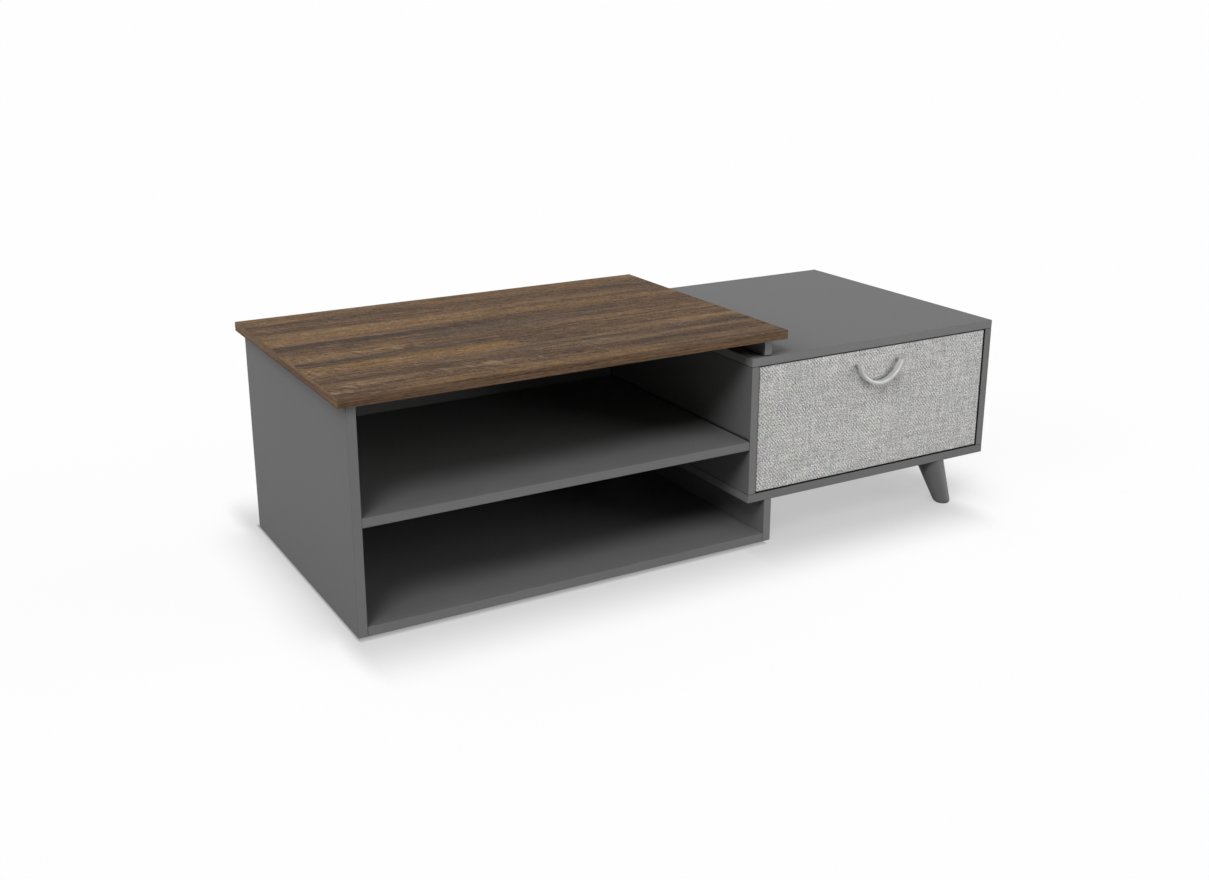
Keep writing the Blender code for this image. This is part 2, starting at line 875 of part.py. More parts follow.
def slide(side, wall_x, way):
    side_name = "box_" + side + "_panel"
    drawer_name = "drawer_" + side + "_side"
    carriage = empty(side + "_slide_carriage", (wall_x, slide_front, slide_level))
    outer_carriage = empty(side + "_outer_cage_carriage", (wall_x, slide_front, slide_level))
    inner_carriage = empty(side + "_inner_cage_carriage", (wall_x, slide_front, slide_level))
    outer = channel(
        side + "_slide_cabinet_member", wall_x, way, slide_level, slide_front, slide_back,
        outer_web, (seat_gap, outer_flange), outer_half, slide_sheet, zinc, None,
    )
    channel(
        side + "_slide_middle_member", wall_x, way, slide_level,
        slide_front + middle_short, slide_back - middle_short,
        middle_web, (middle_web[0], middle_web[0] + middle_flange),
        middle_half, slide_sheet, zinc, carriage,
    )
    inner = channel(
        side + "_slide_drawer_member", wall_x, way, slide_level, slide_front, slide_back,
        inner_web, (inner_web[1] - inner_flange, inner_web[1]),
        inner_half, slide_sheet, zinc, drawer_carriage,
    )
    ball_cage(
        side + "_outer_ball_cage", wall_x, way, outer_cage_web, cage_flange,
        outer_ball_level, outer_carriage,
    )
    ball_cage(
        side + "_inner_ball_cage", wall_x, way, inner_cage_web, inner_cage_flange,
        inner_ball_level, inner_carriage,
    )
    boards[outer.name] = outer
    boards[inner.name] = inner
    for place_name, y in (
        ("front", slide_front + slide_screw_first),
        ("rear", slide_back - slide_screw_last),
    ):
        label = side + "_slide_" + place_name
        wall_seat = Vector((wall_x + way * (outer_web[1] + seat_gap), y, slide_level))
        slide_screw(label + "_wall_screw", wall_seat, AXIS_X * -way, (outer.name, side_name), None)
        drawer_seat = Vector((wall_x + way * (inner_web[0] - seat_gap), y, slide_level))
        slide_screw(
            label + "_drawer_screw", drawer_seat, AXIS_X * way,
            (inner.name, drawer_name), drawer_carriage,
        )


slide("left", box_inner_left, 1)
slide("right", box_inner_right, -1)

# Bow handle

handle_back = front_face - grip_gap
handle_level = box_inner_roof - front_gap - handle_drop
bow_sweep = math.pi - 2 * bow_end_angle
foot_reach = grip_gap - seat_gap
foot_screw_out = bow_radius * math.cos(bow_end_angle + foot_screw_angle)
foot_screw_level = handle_level - bow_radius * math.sin(bow_end_angle + foot_screw_angle)
foot_places = [Vector((box_centre + side * foot_screw_out, 0, foot_screw_level)) for side in (-1, 1)]


def bow_handle():
    bm = bmesh.new()
    rings = []
    for step in range(bow_steps + 1):
        share = step / bow_steps
        angle = math.pi + bow_end_angle + share * bow_sweep
        swell = math.sin(math.pi * share)
        thick = strap_end_thick + (strap_thick - strap_end_thick) * swell
        from_end = min(share, 1 - share) * bow_sweep
        lift = (foot_angle + foot_blend_angle - from_end) / foot_blend_angle
        lift = min(max(lift, 0), 1)
        foot = foot_reach * lift * lift * (3 - 2 * lift)
        corner = strap_corner
        half_thick = thick / 2
        half_depth = strap_depth / 2
        back = half_depth + foot
        section = (
            (-half_thick + corner, -half_depth), (half_thick - corner, -half_depth),
            (half_thick, -half_depth + corner), (half_thick, back - corner),
            (half_thick - corner, back), (-half_thick + corner, back),
            (-half_thick, back - corner), (-half_thick, -half_depth + corner),
        )
        ring = []
        for out, deep in section:
            radius = bow_radius + out
            ring.append(bm.verts.new((radius * math.cos(angle), deep, radius * math.sin(angle))))
        rings.append(ring)
    count = len(rings[0])
    for near, far in zip(rings, rings[1:]):
        for step in range(count):
            after = (step + 1) % count
            bm.faces.new((near[step], near[after], far[after], far[step]))
    bm.faces.new(rings[0])
    bm.faces.new(list(reversed(rings[-1])))
    strap_middle = handle_back - strap_depth / 2
    centre = (box_centre, strap_middle, handle_level)
    handle = add_piece(
        "drawer_handle", mesh_from(bm, "drawer_handle", strap_sharp_angle),
        handle_grey, centre, drawer_carriage,
    )
    holes = bmesh.new()
    foot_end = front_face - seat_gap
    hole_reach = handle_screw_grip + seat_gap
    for place in foot_places:
        mouth = Vector((place.x, foot_end + cut_overrun, place.z))
        radius = hole_radius(handle_screw_shank, screw_sides)
        turned_into(
            holes, mouth, -AXIS_Y,
            ((0, radius), (cut_overrun + hole_reach, radius)), screw_sides,
        )
    cut(handle, mesh_from(holes, "foot_holes"), "foot_holes")


bow_handle()
handle_screw_length = front_back + seat_gap - front_face + handle_screw_grip
handle_screw_mesh = pan_screw_mesh(
    "handle_screw", handle_screw_head, handle_screw_cap, handle_screw_shank, handle_screw_length,
)
for side, place in zip(("left", "right"), foot_places):
    seat = Vector((place.x, front_back + seat_gap, place.z))
    add_fastener("handle_" + side + "_screw", handle_screw_mesh, zinc, seat, -AXIS_Y, drawer_carriage)
    for name in ("drawer_front_board", "drawer_linen_facing"):
        drill(
            narrow_holes, name, seat + AXIS_Y * cut_overrun, -AXIS_Y,
            cut_overrun + handle_screw_length,
            hole_radius(handle_screw_shank, screw_sides), screw_sides,
        )

# Legs


def leg(name, top, way):
    """Round level sections from the foot up; the leg leans out along way on Y."""
    height = top.z - seat_gap
    bm = bmesh.new()
    levels = []
    for step in range(leg_round_steps + 1):
        angle = math.pi / 2 * step / leg_round_steps
        level = leg_foot_round * (1 - math.cos(angle))
        levels.append((level, leg_foot_round * (1 - math.sin(angle))))
    levels.append((height, 0))
    rings = []
    for level, drawn_in in levels:
        share = level / height
        radius = leg_foot_radius + (leg_top_radius - leg_foot_radius) * share - drawn_in
        centre_x = leg_lean_side * (1 - share)
        centre_y = way * leg_lean * (1 - share)
        ring = []
        for step in range(leg_sides):
            turn = 2 * math.pi * step / leg_sides
            x = centre_x + radius * math.cos(turn)
            y = centre_y + radius * math.sin(turn)
            ring.append(bm.verts.new((x, y, level)))
        rings.append(ring)
    for near, far in zip(rings, rings[1:]):
        for step in range(leg_sides):
            after = (step + 1) % leg_sides
            bm.faces.new((near[step], near[after], far[after], far[step]))
    bm.faces.new(list(reversed(rings[0])))
    bm.faces.new(rings[-1])
    mesh = mesh_from(bm, name, turned_sharp_angle)
    obj = add_piece(name, mesh, grey_leg, (top.x, top.y, 0))
    hole = bmesh.new()
    start = Vector((top.x, top.y, top.z + cut_overrun))
    radius = hole_radius(leg_bolt_shank, screw_sides)
    reach = cut_overrun + leg_bolt_in_leg + seat_gap
    turned_into(hole, start, -AXIS_Z, ((0, radius), (reach, radius)), screw_sides)
    cut(obj, mesh_from(hole, "bolt_hole"), "bolt_hole")


for name, (top, way) in leg_tops.items():
    leg(name, top, way)

# All drilling last, once every joint is known, then the countersinks

drill_all(boards)
sink_heads("box_top_panel", spacer_places, AXIS_Z, spacer_screw_head, spacer_screw_shank)
sink_heads("box_bottom_panel", leg_bolt_places, -AXIS_Z, leg_bolt_head, leg_bolt_shank)
for name, way in (("drawer_left_side", AXIS_X), ("drawer_right_side", -AXIS_X)):
    sink_heads(name, back_places[name], way, back_screw_head, back_screw_shank)

print("drawer travel", round(travel, 4), "slide length", round(slide_length, 4))
print("origin in the layout frame", round(origin_x, 4), round(origin_y, 4))
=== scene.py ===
import math

import bmesh
import bpy
from mathutils import Matrix, Vector


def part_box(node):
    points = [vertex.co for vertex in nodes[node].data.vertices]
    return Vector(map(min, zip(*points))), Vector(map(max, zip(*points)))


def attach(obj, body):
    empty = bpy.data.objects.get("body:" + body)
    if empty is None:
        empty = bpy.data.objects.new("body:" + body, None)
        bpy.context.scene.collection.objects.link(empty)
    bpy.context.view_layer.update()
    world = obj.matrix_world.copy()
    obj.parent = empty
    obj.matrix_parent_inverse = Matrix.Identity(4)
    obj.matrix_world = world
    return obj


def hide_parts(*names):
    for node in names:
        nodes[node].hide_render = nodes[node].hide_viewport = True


# Low side table: a grey open cabinet under a walnut-look top, with a linen-faced drawer box beside it
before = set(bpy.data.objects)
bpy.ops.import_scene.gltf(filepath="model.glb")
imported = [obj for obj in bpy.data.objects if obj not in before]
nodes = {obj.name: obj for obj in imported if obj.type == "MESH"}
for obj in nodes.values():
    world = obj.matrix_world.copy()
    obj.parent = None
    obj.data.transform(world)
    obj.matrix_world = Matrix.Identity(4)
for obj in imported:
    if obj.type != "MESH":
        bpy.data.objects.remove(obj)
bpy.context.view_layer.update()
scene = bpy.context.scene


# Camera, as the photograph was taken

cameraSetup = {
    "place": (-1.4594, -2.4382, 1.1254),
    "lookDownDegrees": 17.13,
    "turnRightDegrees": 29.89,
    "lensMillimetres": 40.97,
    "sensorMillimetres": 36.0,
    "shiftRight": 0.0018,
    "shiftUp": -0.0344,
    "nearest": 0.05,
    "farthest": 60.0,
}


def placeCamera():
    setup = cameraSetup
    lens = bpy.data.cameras.new("photoLens")
    lens.lens = setup["lensMillimetres"]
    lens.sensor_width = setup["sensorMillimetres"]
    lens.shift_x = setup["shiftRight"]
    lens.shift_y = setup["shiftUp"]
    lens.clip_start = setup["nearest"]
    lens.clip_end = setup["farthest"]
    camera = bpy.data.objects.new("photoCamera", lens)
    camera.location = setup["place"]
    down = math.radians(90.0 - setup["lookDownDegrees"])
    camera.rotation_euler = (down, 0.0, -math.radians(setup["turnRightDegrees"]))
    scene.collection.objects.link(camera)
    scene.camera = camera


placeCamera()
print("camera placed")


# Node helpers: short names for the nodes that the materials below are built from

noiseRange = (0.3, 0.7)  # a noise keeps mostly to this range
noiseSwing = 4.0  # a noise about zero swings by about a quarter, and this brings it to 1


def seen(red, green, blue):
    # a colour as seen on screen, 0 to 255, in the linear values that Blender mixes
    linear = []
    for part in (red, green, blue):
        share = part / 255.0
        linear.append(share / 12.92 if share <= 0.04045 else ((share + 0.055) / 1.055) ** 2.4)
    return (*linear, 1.0)


class Finish:
    # one material: a Principled shader and the nodes that feed it
    def __init__(self, name, roughness=0.5, metallic=0.0, **fixed):
        self.material = bpy.data.materials.new(name)
        self.material.use_nodes = True
        self.tree = self.material.node_tree
        self.tree.nodes.clear()
        self.shader = self.add("ShaderNodeBsdfPrincipled")
        self.shader.inputs["Roughness"].default_value = roughness
        self.shader.inputs["Metallic"].default_value = metallic
        for socket, value in fixed.items():
            self.shader.inputs[socket.replace("_", " ")].default_value = value
        output = self.add("ShaderNodeOutputMaterial")
        self.tree.links.new(self.shader.outputs["BSDF"], output.inputs["Surface"])

    def add(self, kind, **settings):
        node = self.tree.nodes.new(kind)
        for key, value in settings.items():
            setattr(node, key, value)
        return node

    def feed(self, socket, value):
        if isinstance(value, bpy.types.NodeSocket):
            self.tree.links.new(value, socket)
        else:
            socket.default_value = value

    def drive(self, socketName, value):
        self.feed(self.shader.inputs[socketName], value)

    def calc(self, operation, first, second=0.0, third=0.0):
        node = self.add("ShaderNodeMath", operation=operation)
        for socket, value in zip(node.inputs, (first, second, third)):
            self.feed(socket, value)
        return node.outputs[0]

    def place(self):
        return self.add("ShaderNodeTexCoord").outputs["Object"]

    def apart(self, vector):
        node = self.add("ShaderNodeSeparateXYZ")
        self.feed(node.inputs[0], vector)
        return node.outputs[0], node.outputs[1], node.outputs[2]

    def together(self, x, y, z):
        node = self.add("ShaderNodeCombineXYZ")
        for socket, value in zip(node.inputs, (x, y, z)):
            self.feed(socket, value)
        return node.outputs[0]

    def stretched(self, vector, perMetre):
        # how many texture cells fit in a metre along each axis
        node = self.add("ShaderNodeVectorMath", operation="MULTIPLY")
        self.feed(node.inputs[0], vector)
        node.inputs[1].default_value = perMetre
        return node.outputs[0]

    def noise(self, vector, detail=2.0, roughness=0.5):
        node = self.add("ShaderNodeTexNoise")
        self.feed(node.inputs["Vector"], vector)
        node.inputs["Scale"].default_value = 1.0
        node.inputs["Detail"].default_value = detail
        node.inputs["Roughness"].default_value = roughness
        return node.outputs["Fac"]

    def speckle(self, cells, detail=2.0, roughness=0.5):
        # noise with the same number of cells to the metre every way
        return self.noise(self.stretched(self.place(), (cells, cells, cells)), detail, roughness)

    def perCell(self, number, seed):
        # one steady random value for each whole number
        node = self.add("ShaderNodeTexWhiteNoise", noise_dimensions="2D")
        self.feed(node.inputs["Vector"], self.together(number, seed, 0.0))
        return node.outputs["Value"]

    def spread(self, value, low, high, toLow=0.0, toHigh=1.0, kind="LINEAR"):
        node = self.add("ShaderNodeMapRange", interpolation_type=kind)
        sockets = ("Value", "From Min", "From Max", "To Min", "To Max")
        for socket, number in zip(sockets, (value, low, high, toLow, toHigh)):
            self.feed(node.inputs[socket], number)
        return node.outputs[0]

    def vary(self, noise, low, high):
        # a noise brought to run from low to high
        return self.spread(noise, *noiseRange, low, high)

    def mottle(self, noise, depth):
        return self.vary(noise, 1.0 - depth, 1.0 + depth)

    def centred(self, value):
        return self.calc("SUBTRACT", value, 0.5)

    def swing(self, noise, depth, base):
        # the base value with a noise of the given depth on it
        return self.calc("MULTIPLY_ADD", self.centred(noise), noiseSwing * depth, base)

    def choose(self, mask, chosen, otherwise):
        high = self.calc("MULTIPLY", chosen, mask)
        low = self.calc("MULTIPLY", otherwise, self.calc("SUBTRACT", 1.0, mask))
        return self.calc("ADD", high, low)

    def ramp(self, factor, stops):
        node = self.add("ShaderNodeValToRGB")
        marks = node.color_ramp.elements
        for mark, (position, colour) in zip(marks, stops):
            mark.position = position
            mark.color = colour
        self.feed(node.inputs[0], factor)
        return node.outputs[0]

    def mix(self, factor, first, second, blend="MIX"):
        node = self.add("ShaderNodeMix", data_type="RGBA", blend_type=blend)
        self.feed(node.inputs[0], factor)
        self.feed(node.inputs[6], first)
        self.feed(node.inputs[7], second)
        return node.outputs[2]

    def shaded(self, colour, factor):
        # the colour made lighter or darker by a factor about 1
        return self.mix(1.0, colour, self.together(factor, factor, factor), "MULTIPLY")

    def relief(self, height, depth, strength=1.0):
        node = self.add("ShaderNodeBump")
        node.inputs["Strength"].default_value = strength
        node.inputs["Distance"].default_value = depth
        self.feed(node.inputs["Height"], height)
        self.drive("Normal", node.outputs[0])

    def roughen(self, noise, low, high):
        # a viewer that doesn't read the nodes gets the middle value
        self.shader.inputs["Roughness"].default_value = (low + high) / 2
        self.drive("Roughness", self.vary(noise, low, high))

    def facing(self):
        return self.apart(self.add("ShaderNodeNewGeometry").outputs["Normal"])

    def openness(self, reach, samples):
        # 1 in the open, less where something stands within reach
        node = self.add("ShaderNodeAmbientOcclusion", samples=samples)
        node.inputs["Distance"].default_value = reach
        return node.outputs["AO"]


def dress(nodeNames, material):
    # gives CAD pieces that keep their own shape a new finish
    for name in nodeNames:
        for slot in nodes[name].material_slots:
            slot.material = material


# Walnut-look top: wandering golden and dark bands, a rippled figure, streaks and fine fibres

walnutTop = {
    "brown": (100, 78, 58),
    "umber": (79, 62, 49),
    "gold": (134, 104, 69),
    "smoke": (84, 71, 63),
    "fleck": (152, 128, 100),
    "vein": (62, 50, 42),
    "wander": 0.045,
    "waver": 0.012,
    "goldShare": 0.45,
    "veinShare": 0.60,
    "streakDepth": 0.31,
    "fineDepth": 0.38,
    "fibreDepth": 0.46,
    "stripeFadeShares": (0.35, 1.35),  # of a stripe's half width, to either side of its middle
    "stripeEnd": 0.09,
    "rippleAll": 0.20,
    "rippleLean": 0.55,
    "fleckShare": 0.42,
    "rimShare": 0.70,
    "roughness": (0.65, 0.54),  # of the brown wood and of the gold
    "poreDepth": 0.00006,
    "poreStrength": 0.7,
    "topTone": 0.955,
    "bandTone": 1.33,
    "bandFiner": 2.4,
    "bandContrast": 2.3,
    "bandSmoke": 0.25,
    "layerApart": 1.7,
    # each layer of grain: its number, cells to the metre along and across, detail and roughness
    "layers": {
        "slow": (1, 1.7, 6.0, 2.0, 0.5),
        "quick": (2, 11.0, 26.0, 2.0, 0.5),
        "board": (3, 1.1, 22.0, 3.0, 0.6),
        "ragged": (4, 3.0, 46.0, 3.0, 0.6),
        "gold": (5, 2.0, 30.0, 3.0, 0.55),
        "vein": (6, 2.4, 52.0, 3.0, 0.6),
        "ripple": (8, 50.0, 25.0, 1.0, 0.5),
        "fine": (10, 42.0, 250.0, 2.0, 0.6),
        "fibre": (11, 190.0, 330.0, 1.0, 0.5),
        "streak": (12, 8.0, 105.0, 3.0, 0.6),
    },
    # the level of a layer at which each part begins to show, and the level at which it shows fully
    "parts": {
        "board": (0.34, 0.58),
        "ragged": (0.30, 0.52),
        "gold": (0.48, 0.70),
        "vein": (0.56, 0.72),
        "fleck": (0.53, 0.66),
        "rim": (0.040, 0.005),
    },
    # tone and place across as a share of the board's depth, half the width in metres,
    # where it starts and stops as shares of the board's length, and how much of it shows
    "bands": (
        ("gold", 0.96, 0.024, (-0.2, 1.2), 0.35),
        ("vein", 0.88, 0.014, (-0.2, 0.45), 0.45),
        ("gold", 0.70, 0.036, (-0.2, 0.55), 0.62),
        ("gold", 0.68, 0.022, (0.45, 1.2), 0.45),
        ("vein", 0.58, 0.016, (-0.2, 1.2), 0.75),
        ("smoke", 0.52, 0.030, (0.25, 0.80), 0.65),
        ("gold", 0.45, 0.030, (-0.2, 0.30), 0.50),
        ("gold", 0.46, 0.016, (0.55, 0.90), 0.40),
        ("vein", 0.375, 0.012, (-0.2, 0.50), 0.75),
        ("gold", 0.29, 0.030, (-0.2, 0.50), 0.85),
        ("gold", 0.30, 0.012, (0.75, 1.2), 0.60),
        ("vein", 0.22, 0.012, (0.15, 1.2), 0.70),
        ("umber", 0.17, 0.034, (-0.2, 1.2), 0.40),
        ("gold", 0.02, 0.014, (0.10, 0.75), 0.55),
    ),
    # patches of rippled figure: place across, half the width, start and stop, as above
    "ripples": (
        (0.10, 0.030, (0.16, 0.60)),
        (0.05, 0.045, (-0.2, 0.14)),
        (0.28, 0.034, (-0.2, 0.12)),
        (0.43, 0.032, (-0.2, 0.34)),
        (0.43, 0.024, (0.50, 0.70)),
        (0.20, 0.020, (0.08, 0.22)),
    ),
}


def walnutFinish(name, onEdges):
    look = walnutTop
    walnut = Finish(name, sum(look["roughness"]) / 2, Specular_IOR_Level=0.06)
    x, y, z = walnut.apart(walnut.place())
    along, across = x, y
    finer = 1.0
    if onEdges:
        # the band on the short ends is cut along the board's depth, and all of it has closer lines
        finer = look["bandFiner"]
        end = walnut.calc("GREATER_THAN", walnut.calc("ABSOLUTE", walnut.facing()[0]), 0.5)
        along = walnut.choose(end, y, x)
        across = walnut.choose(end, x, y)
    bent = across

    def grain(layerName, lean=0.0):
        # noise drawn out along the grain; each layer is cut from its own depth
        layer, cellsAlong, cellsAcross, detail, roughness = look["layers"][layerName]
        length = walnut.calc("MULTIPLY_ADD", bent, lean, along) if lean else along
        point = walnut.together(length, bent, walnut.calc("ADD", z, layer * look["layerApart"]))
        cells = (cellsAlong / finer, cellsAcross * finer, cellsAcross * finer)
        return walnut.noise(walnut.stretched(point, cells), detail, roughness)

    def part(partName, layer):
        return walnut.spread(layer, *look["parts"][partName], 0.0, 1.0, "SMOOTHSTEP")

    def painted(colour, mask, share, over):
        return walnut.mix(walnut.calc("MULTIPLY", mask, share), colour, seen(*look[over]))

    def stripe(place, halfWidth, ends):
        # a soft band along the grain that fades out at both ends
        low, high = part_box("wood_top")
        size = high - low
        away = walnut.calc("ABSOLUTE", walnut.calc("SUBTRACT", bent, low.y + size.y * place))
        inner, outer = (halfWidth * share for share in look["stripeFadeShares"])
        beside = walnut.spread(away, inner, outer, 1.0, 0.0, "SMOOTHSTEP")
        start, stop = (low.x + size.x * end for end in ends)
        into = walnut.spread(along, start, start + look["stripeEnd"], 0.0, 1.0, "SMOOTHSTEP")
        out = walnut.spread(along, stop - look["stripeEnd"], stop, 1.0, 0.0, "SMOOTHSTEP")
        return walnut.calc("MULTIPLY", beside, walnut.calc("MULTIPLY", into, out))

    # the lines of the grain wander and waver from here on
    slow = walnut.centred(grain("slow"))
    quick = walnut.centred(grain("quick"))
    bent = walnut.calc("MULTIPLY_ADD", slow, look["wander"] / finer, bent)
    bent = walnut.calc("MULTIPLY_ADD", quick, look["waver"] / finer, bent)

    board = part("board", grain("board"))
    colour = walnut.mix(board, seen(*look["umber"]), seen(*look["brown"]))
    gold = part("gold", grain("gold"))
    colour = painted(colour, gold, look["goldShare"], "gold")
    colour = painted(colour, part("vein", grain("vein")), look["veinShare"], "vein")

    if onEdges:
        colour = walnut.mix(look["bandSmoke"], colour, seen(*look["smoke"]))
    else:
        ragged = part("ragged", grain("ragged"))
        for tone, place, halfWidth, ends, share in look["bands"]:
            mask = walnut.calc("MULTIPLY", stripe(place, halfWidth, ends), ragged)
            colour = painted(colour, mask, share, tone)
        # the rippled figure lies in patches, as short pale waves with thin dark outlines
        patch = look["rippleAll"]
        for ripples in look["ripples"]:
            patch = walnut.calc("MAXIMUM", patch, stripe(*ripples))
        ripple = grain("ripple", look["rippleLean"])
        fleck = part("fleck", ripple)
        rim = part("rim", walnut.calc("ABSOLUTE", walnut.centred(ripple)))
        colour = painted(colour, walnut.calc("MULTIPLY", fleck, patch), look["fleckShare"], "fleck")
        colour = painted(colour, walnut.calc("MULTIPLY", rim, patch), look["rimShare"], "vein")

    fine = grain("fine")
    fibre = grain("fibre")
    tone = look["bandTone"] if onEdges else look["topTone"]
    contrast = look["bandContrast"] if onEdges else 1.0
    tone = walnut.swing(grain("streak"), contrast * look["streakDepth"], tone)
    tone = walnut.swing(fine, look["fineDepth"], tone)
    tone = walnut.swing(fibre, look["fibreDepth"], tone)
    walnut.drive("Base Color", walnut.shaded(colour, tone))
    walnut.drive("Roughness", walnut.spread(gold, 0.0, 1.0, *look["roughness"]))
    walnut.relief(walnut.calc("ADD", fine, fibre), look["poreDepth"], look["poreStrength"])
    return walnut.material


dress(["wood_top"], walnutFinish("walnutTop", False))
walnutBand = walnutFinish("walnutEdgeBand", True)
print("walnut top finished")


# Edge band of the top: one strip glued round the board, with softly rounded long edges

edgeBandShape = {
    "glueLine": 0.00005,
    "cornerRound": 0.0016,
    "cornerSteps": 5,
    "longEdgeRound": 0.0005,
    "longEdgeSteps": 3,
}


def roundedOutline(low, high, inset, radius, steps):
    # corner points of a rectangle with round corners, drawn in by inset, counter-clockwise
    radius = max(radius - inset, radius / 100.0)
    corners = (
        (high.x - inset - radius, low.y + inset + radius, -90.0),
        (high.x - inset - radius, high.y - inset - radius, 0.0),
        (low.x + inset + radius, high.y - inset - radius, 90.0),
        (low.x + inset + radius, low.y + inset + radius, 180.0),
    )
    points = []
    for centreX, centreY, start in corners:
        for step in range(steps + 1):
            angle = math.radians(start + 90.0 * step / steps)
            points.append((centreX + radius * math.cos(angle), centreY + radius * math.sin(angle)))
    return points


def joinRings(mesh, rings, closed):
    # quads between neighbouring rings of equal length; closed also joins the last to the first
    count = len(rings[0])
    pairs = list(zip(rings, rings[1:]))
    if closed:
        pairs.append((rings[-1], rings[0]))
    for near, far in pairs:
        for step in range(count):
            after = (step + 1) % count
            mesh.faces.new((near[step], near[after], far[after], far[step]))


def finishMesh(name, mesh, sharpDegrees=35.0):
    bmesh.ops.recalc_face_normals(mesh, faces=mesh.faces)
    data = bpy.data.meshes.new(name)
    mesh.to_mesh(data)
    mesh.free()
    data.shade_smooth()
    data.set_sharp_from_angle(angle=math.radians(sharpDegrees))
    return data


def addPiece(name, data, material, body, standsFor=()):
    piece = bpy.data.objects.new(name, data)
    if material and not data.materials:
        data.materials.append(material)
    scene.collection.objects.link(piece)
    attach(piece, body)
    if standsFor:
        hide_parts(*standsFor)
    return piece


def makeEdgeBand():
    shape = edgeBandShape
    outerLow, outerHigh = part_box("wood_top_edge_band")
    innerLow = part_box("wood_top")[0]
    thick = innerLow.x - outerLow.x - shape["glueLine"]
    radius = shape["longEdgeRound"]
    profile = [(thick, outerLow.z), (radius, outerLow.z)]
    for step in range(1, shape["longEdgeSteps"] + 1):
        angle = math.radians(90.0 * step / shape["longEdgeSteps"])
        profile.append((radius * (1 - math.sin(angle)), outerLow.z + radius * (1 - math.cos(angle))))
    for step in range(shape["longEdgeSteps"] + 1):
        angle = math.radians(90.0 * step / shape["longEdgeSteps"])
        profile.append((radius * (1 - math.cos(angle)), outerHigh.z - radius * (1 - math.sin(angle))))
    profile.append((thick, outerHigh.z))
    mesh = bmesh.new()
    rings = []
    for inset, level in profile:
        outline = roundedOutline(outerLow, outerHigh, inset, shape["cornerRound"], shape["cornerSteps"])
        rings.append([mesh.verts.new((x, y, level)) for x, y in outline])
    joinRings(mesh, rings, True)
    data = finishMesh("walnutEdgeBand", mesh)
    addPiece("walnutEdgeBand", data, walnutBand, "table", ["wood_top_edge_band"])


makeEdgeBand()
print("edge band glued on")


# Grey laminate boards: matte, finely pearled, with a glued band on every edge

greyLook = {
    "face": (118, 118, 118),
    # painted light: the edges of each board are made lighter than its broad faces, more on the boards
    # listed next
    "paintedEdgeLight": 1.25,
    "paintedBrighterEdges": {
        "box_top_panel": 1.48, "box_left_panel": 1.40, "box_right_panel": 1.34,
        "lower_right_panel": 1.40, "spacer_panel": 1.62,
    },
    "cloudCells": 7.0,
    "cloudDepth": 0.03,
    "speckCells": 900.0,
    "speckDepth": 0.05,
    "pearlCells": 1100.0,
    "pearlDepth": 0.00003,
    "pearlStrength": 0.6,
    "bandThick": 0.001,
    "seamWidth": 0.00018,
    "seamShade": 0.72,
    # painted shade in the gap round the drawer front
    "creviceReach": 0.010,
    "creviceSamples": 8,
    "creviceOpen": (0.55, 0.92),
    "creviceShade": 0.96,
    # painted shade near the floor, and how high it reaches
    "paintedGroundShade": {"left_side_panel": 0.10},
    "groundReach": 0.30,
    "roughness": (0.58, 0.67),
}


def greyFinish(nodeName, meetsDrawer):
    look = greyLook
    low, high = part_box(nodeName)
    size = high - low
    thin = min(range(3), key=lambda axis: size[axis])
    grey = Finish("grey_" + nodeName, Specular_IOR_Level=0.06)
    parts = grey.apart(grey.place())
    # distance to the nearest edge of the broad face, for the seam of the glued band
    nearest = None
    for axis in range(3):
        if axis == thin:
            continue
        fromLow = grey.calc("SUBTRACT", parts[axis], low[axis])
        fromHigh = grey.calc("SUBTRACT", high[axis], parts[axis])
        edge = grey.calc("MINIMUM", fromLow, fromHigh)
        nearest = edge if nearest is None else grey.calc("MINIMUM", nearest, edge)
    offSeam = grey.calc("ABSOLUTE", grey.calc("SUBTRACT", nearest, look["bandThick"]))
    seam = grey.spread(offSeam, 0.0, look["seamWidth"], 1.0, 0.0, "SMOOTHSTEP")
    onFace = grey.calc("GREATER_THAN", grey.calc("ABSOLUTE", grey.facing()[thin]), 0.5)
    seam = grey.calc("MULTIPLY", seam, onFace)

    cloud = grey.speckle(look["cloudCells"], 3.0, 0.6)
    # painted light: edges get a lighter colour than the broad faces
    edgeLight = look["paintedBrighterEdges"].get(nodeName, look["paintedEdgeLight"])
    # painted shade: the broad faces of a board that meets the floor darken gently towards it
    foot = 1.0 - look["paintedGroundShade"].get(nodeName, 0.0)
    rise = grey.spread(parts[2], 0.0, look["groundReach"], foot, 1.0, "SMOOTHSTEP")
    layers = [
        grey.mottle(grey.speckle(look["speckCells"]), look["speckDepth"]),
        grey.spread(onFace, 0.0, 1.0, edgeLight, 1.0),
        grey.spread(seam, 0.0, 1.0, 1.0, look["seamShade"]),
        grey.calc("MAXIMUM", rise, grey.calc("SUBTRACT", 1.0, onFace)),
    ]
    if meetsDrawer:
        # painted shade: the narrow gap round the closed drawer front is darkened so that it reads as a
        # dark line
        near = grey.openness(look["creviceReach"], look["creviceSamples"])
        layers.append(grey.spread(near, *look["creviceOpen"], 1.0 - look["creviceShade"], 1.0))
    shade = grey.mottle(cloud, look["cloudDepth"])
    for layer in layers:
        shade = grey.calc("MULTIPLY", shade, layer)
    grey.drive("Base Color", grey.shaded(seen(*look["face"]), shade))
    grey.roughen(cloud, *look["roughness"])
    pearl = grey.speckle(look["pearlCells"], 1.0)
    grey.relief(grey.calc("SUBTRACT", pearl, seam), look["pearlDepth"], look["pearlStrength"])
    return grey.material


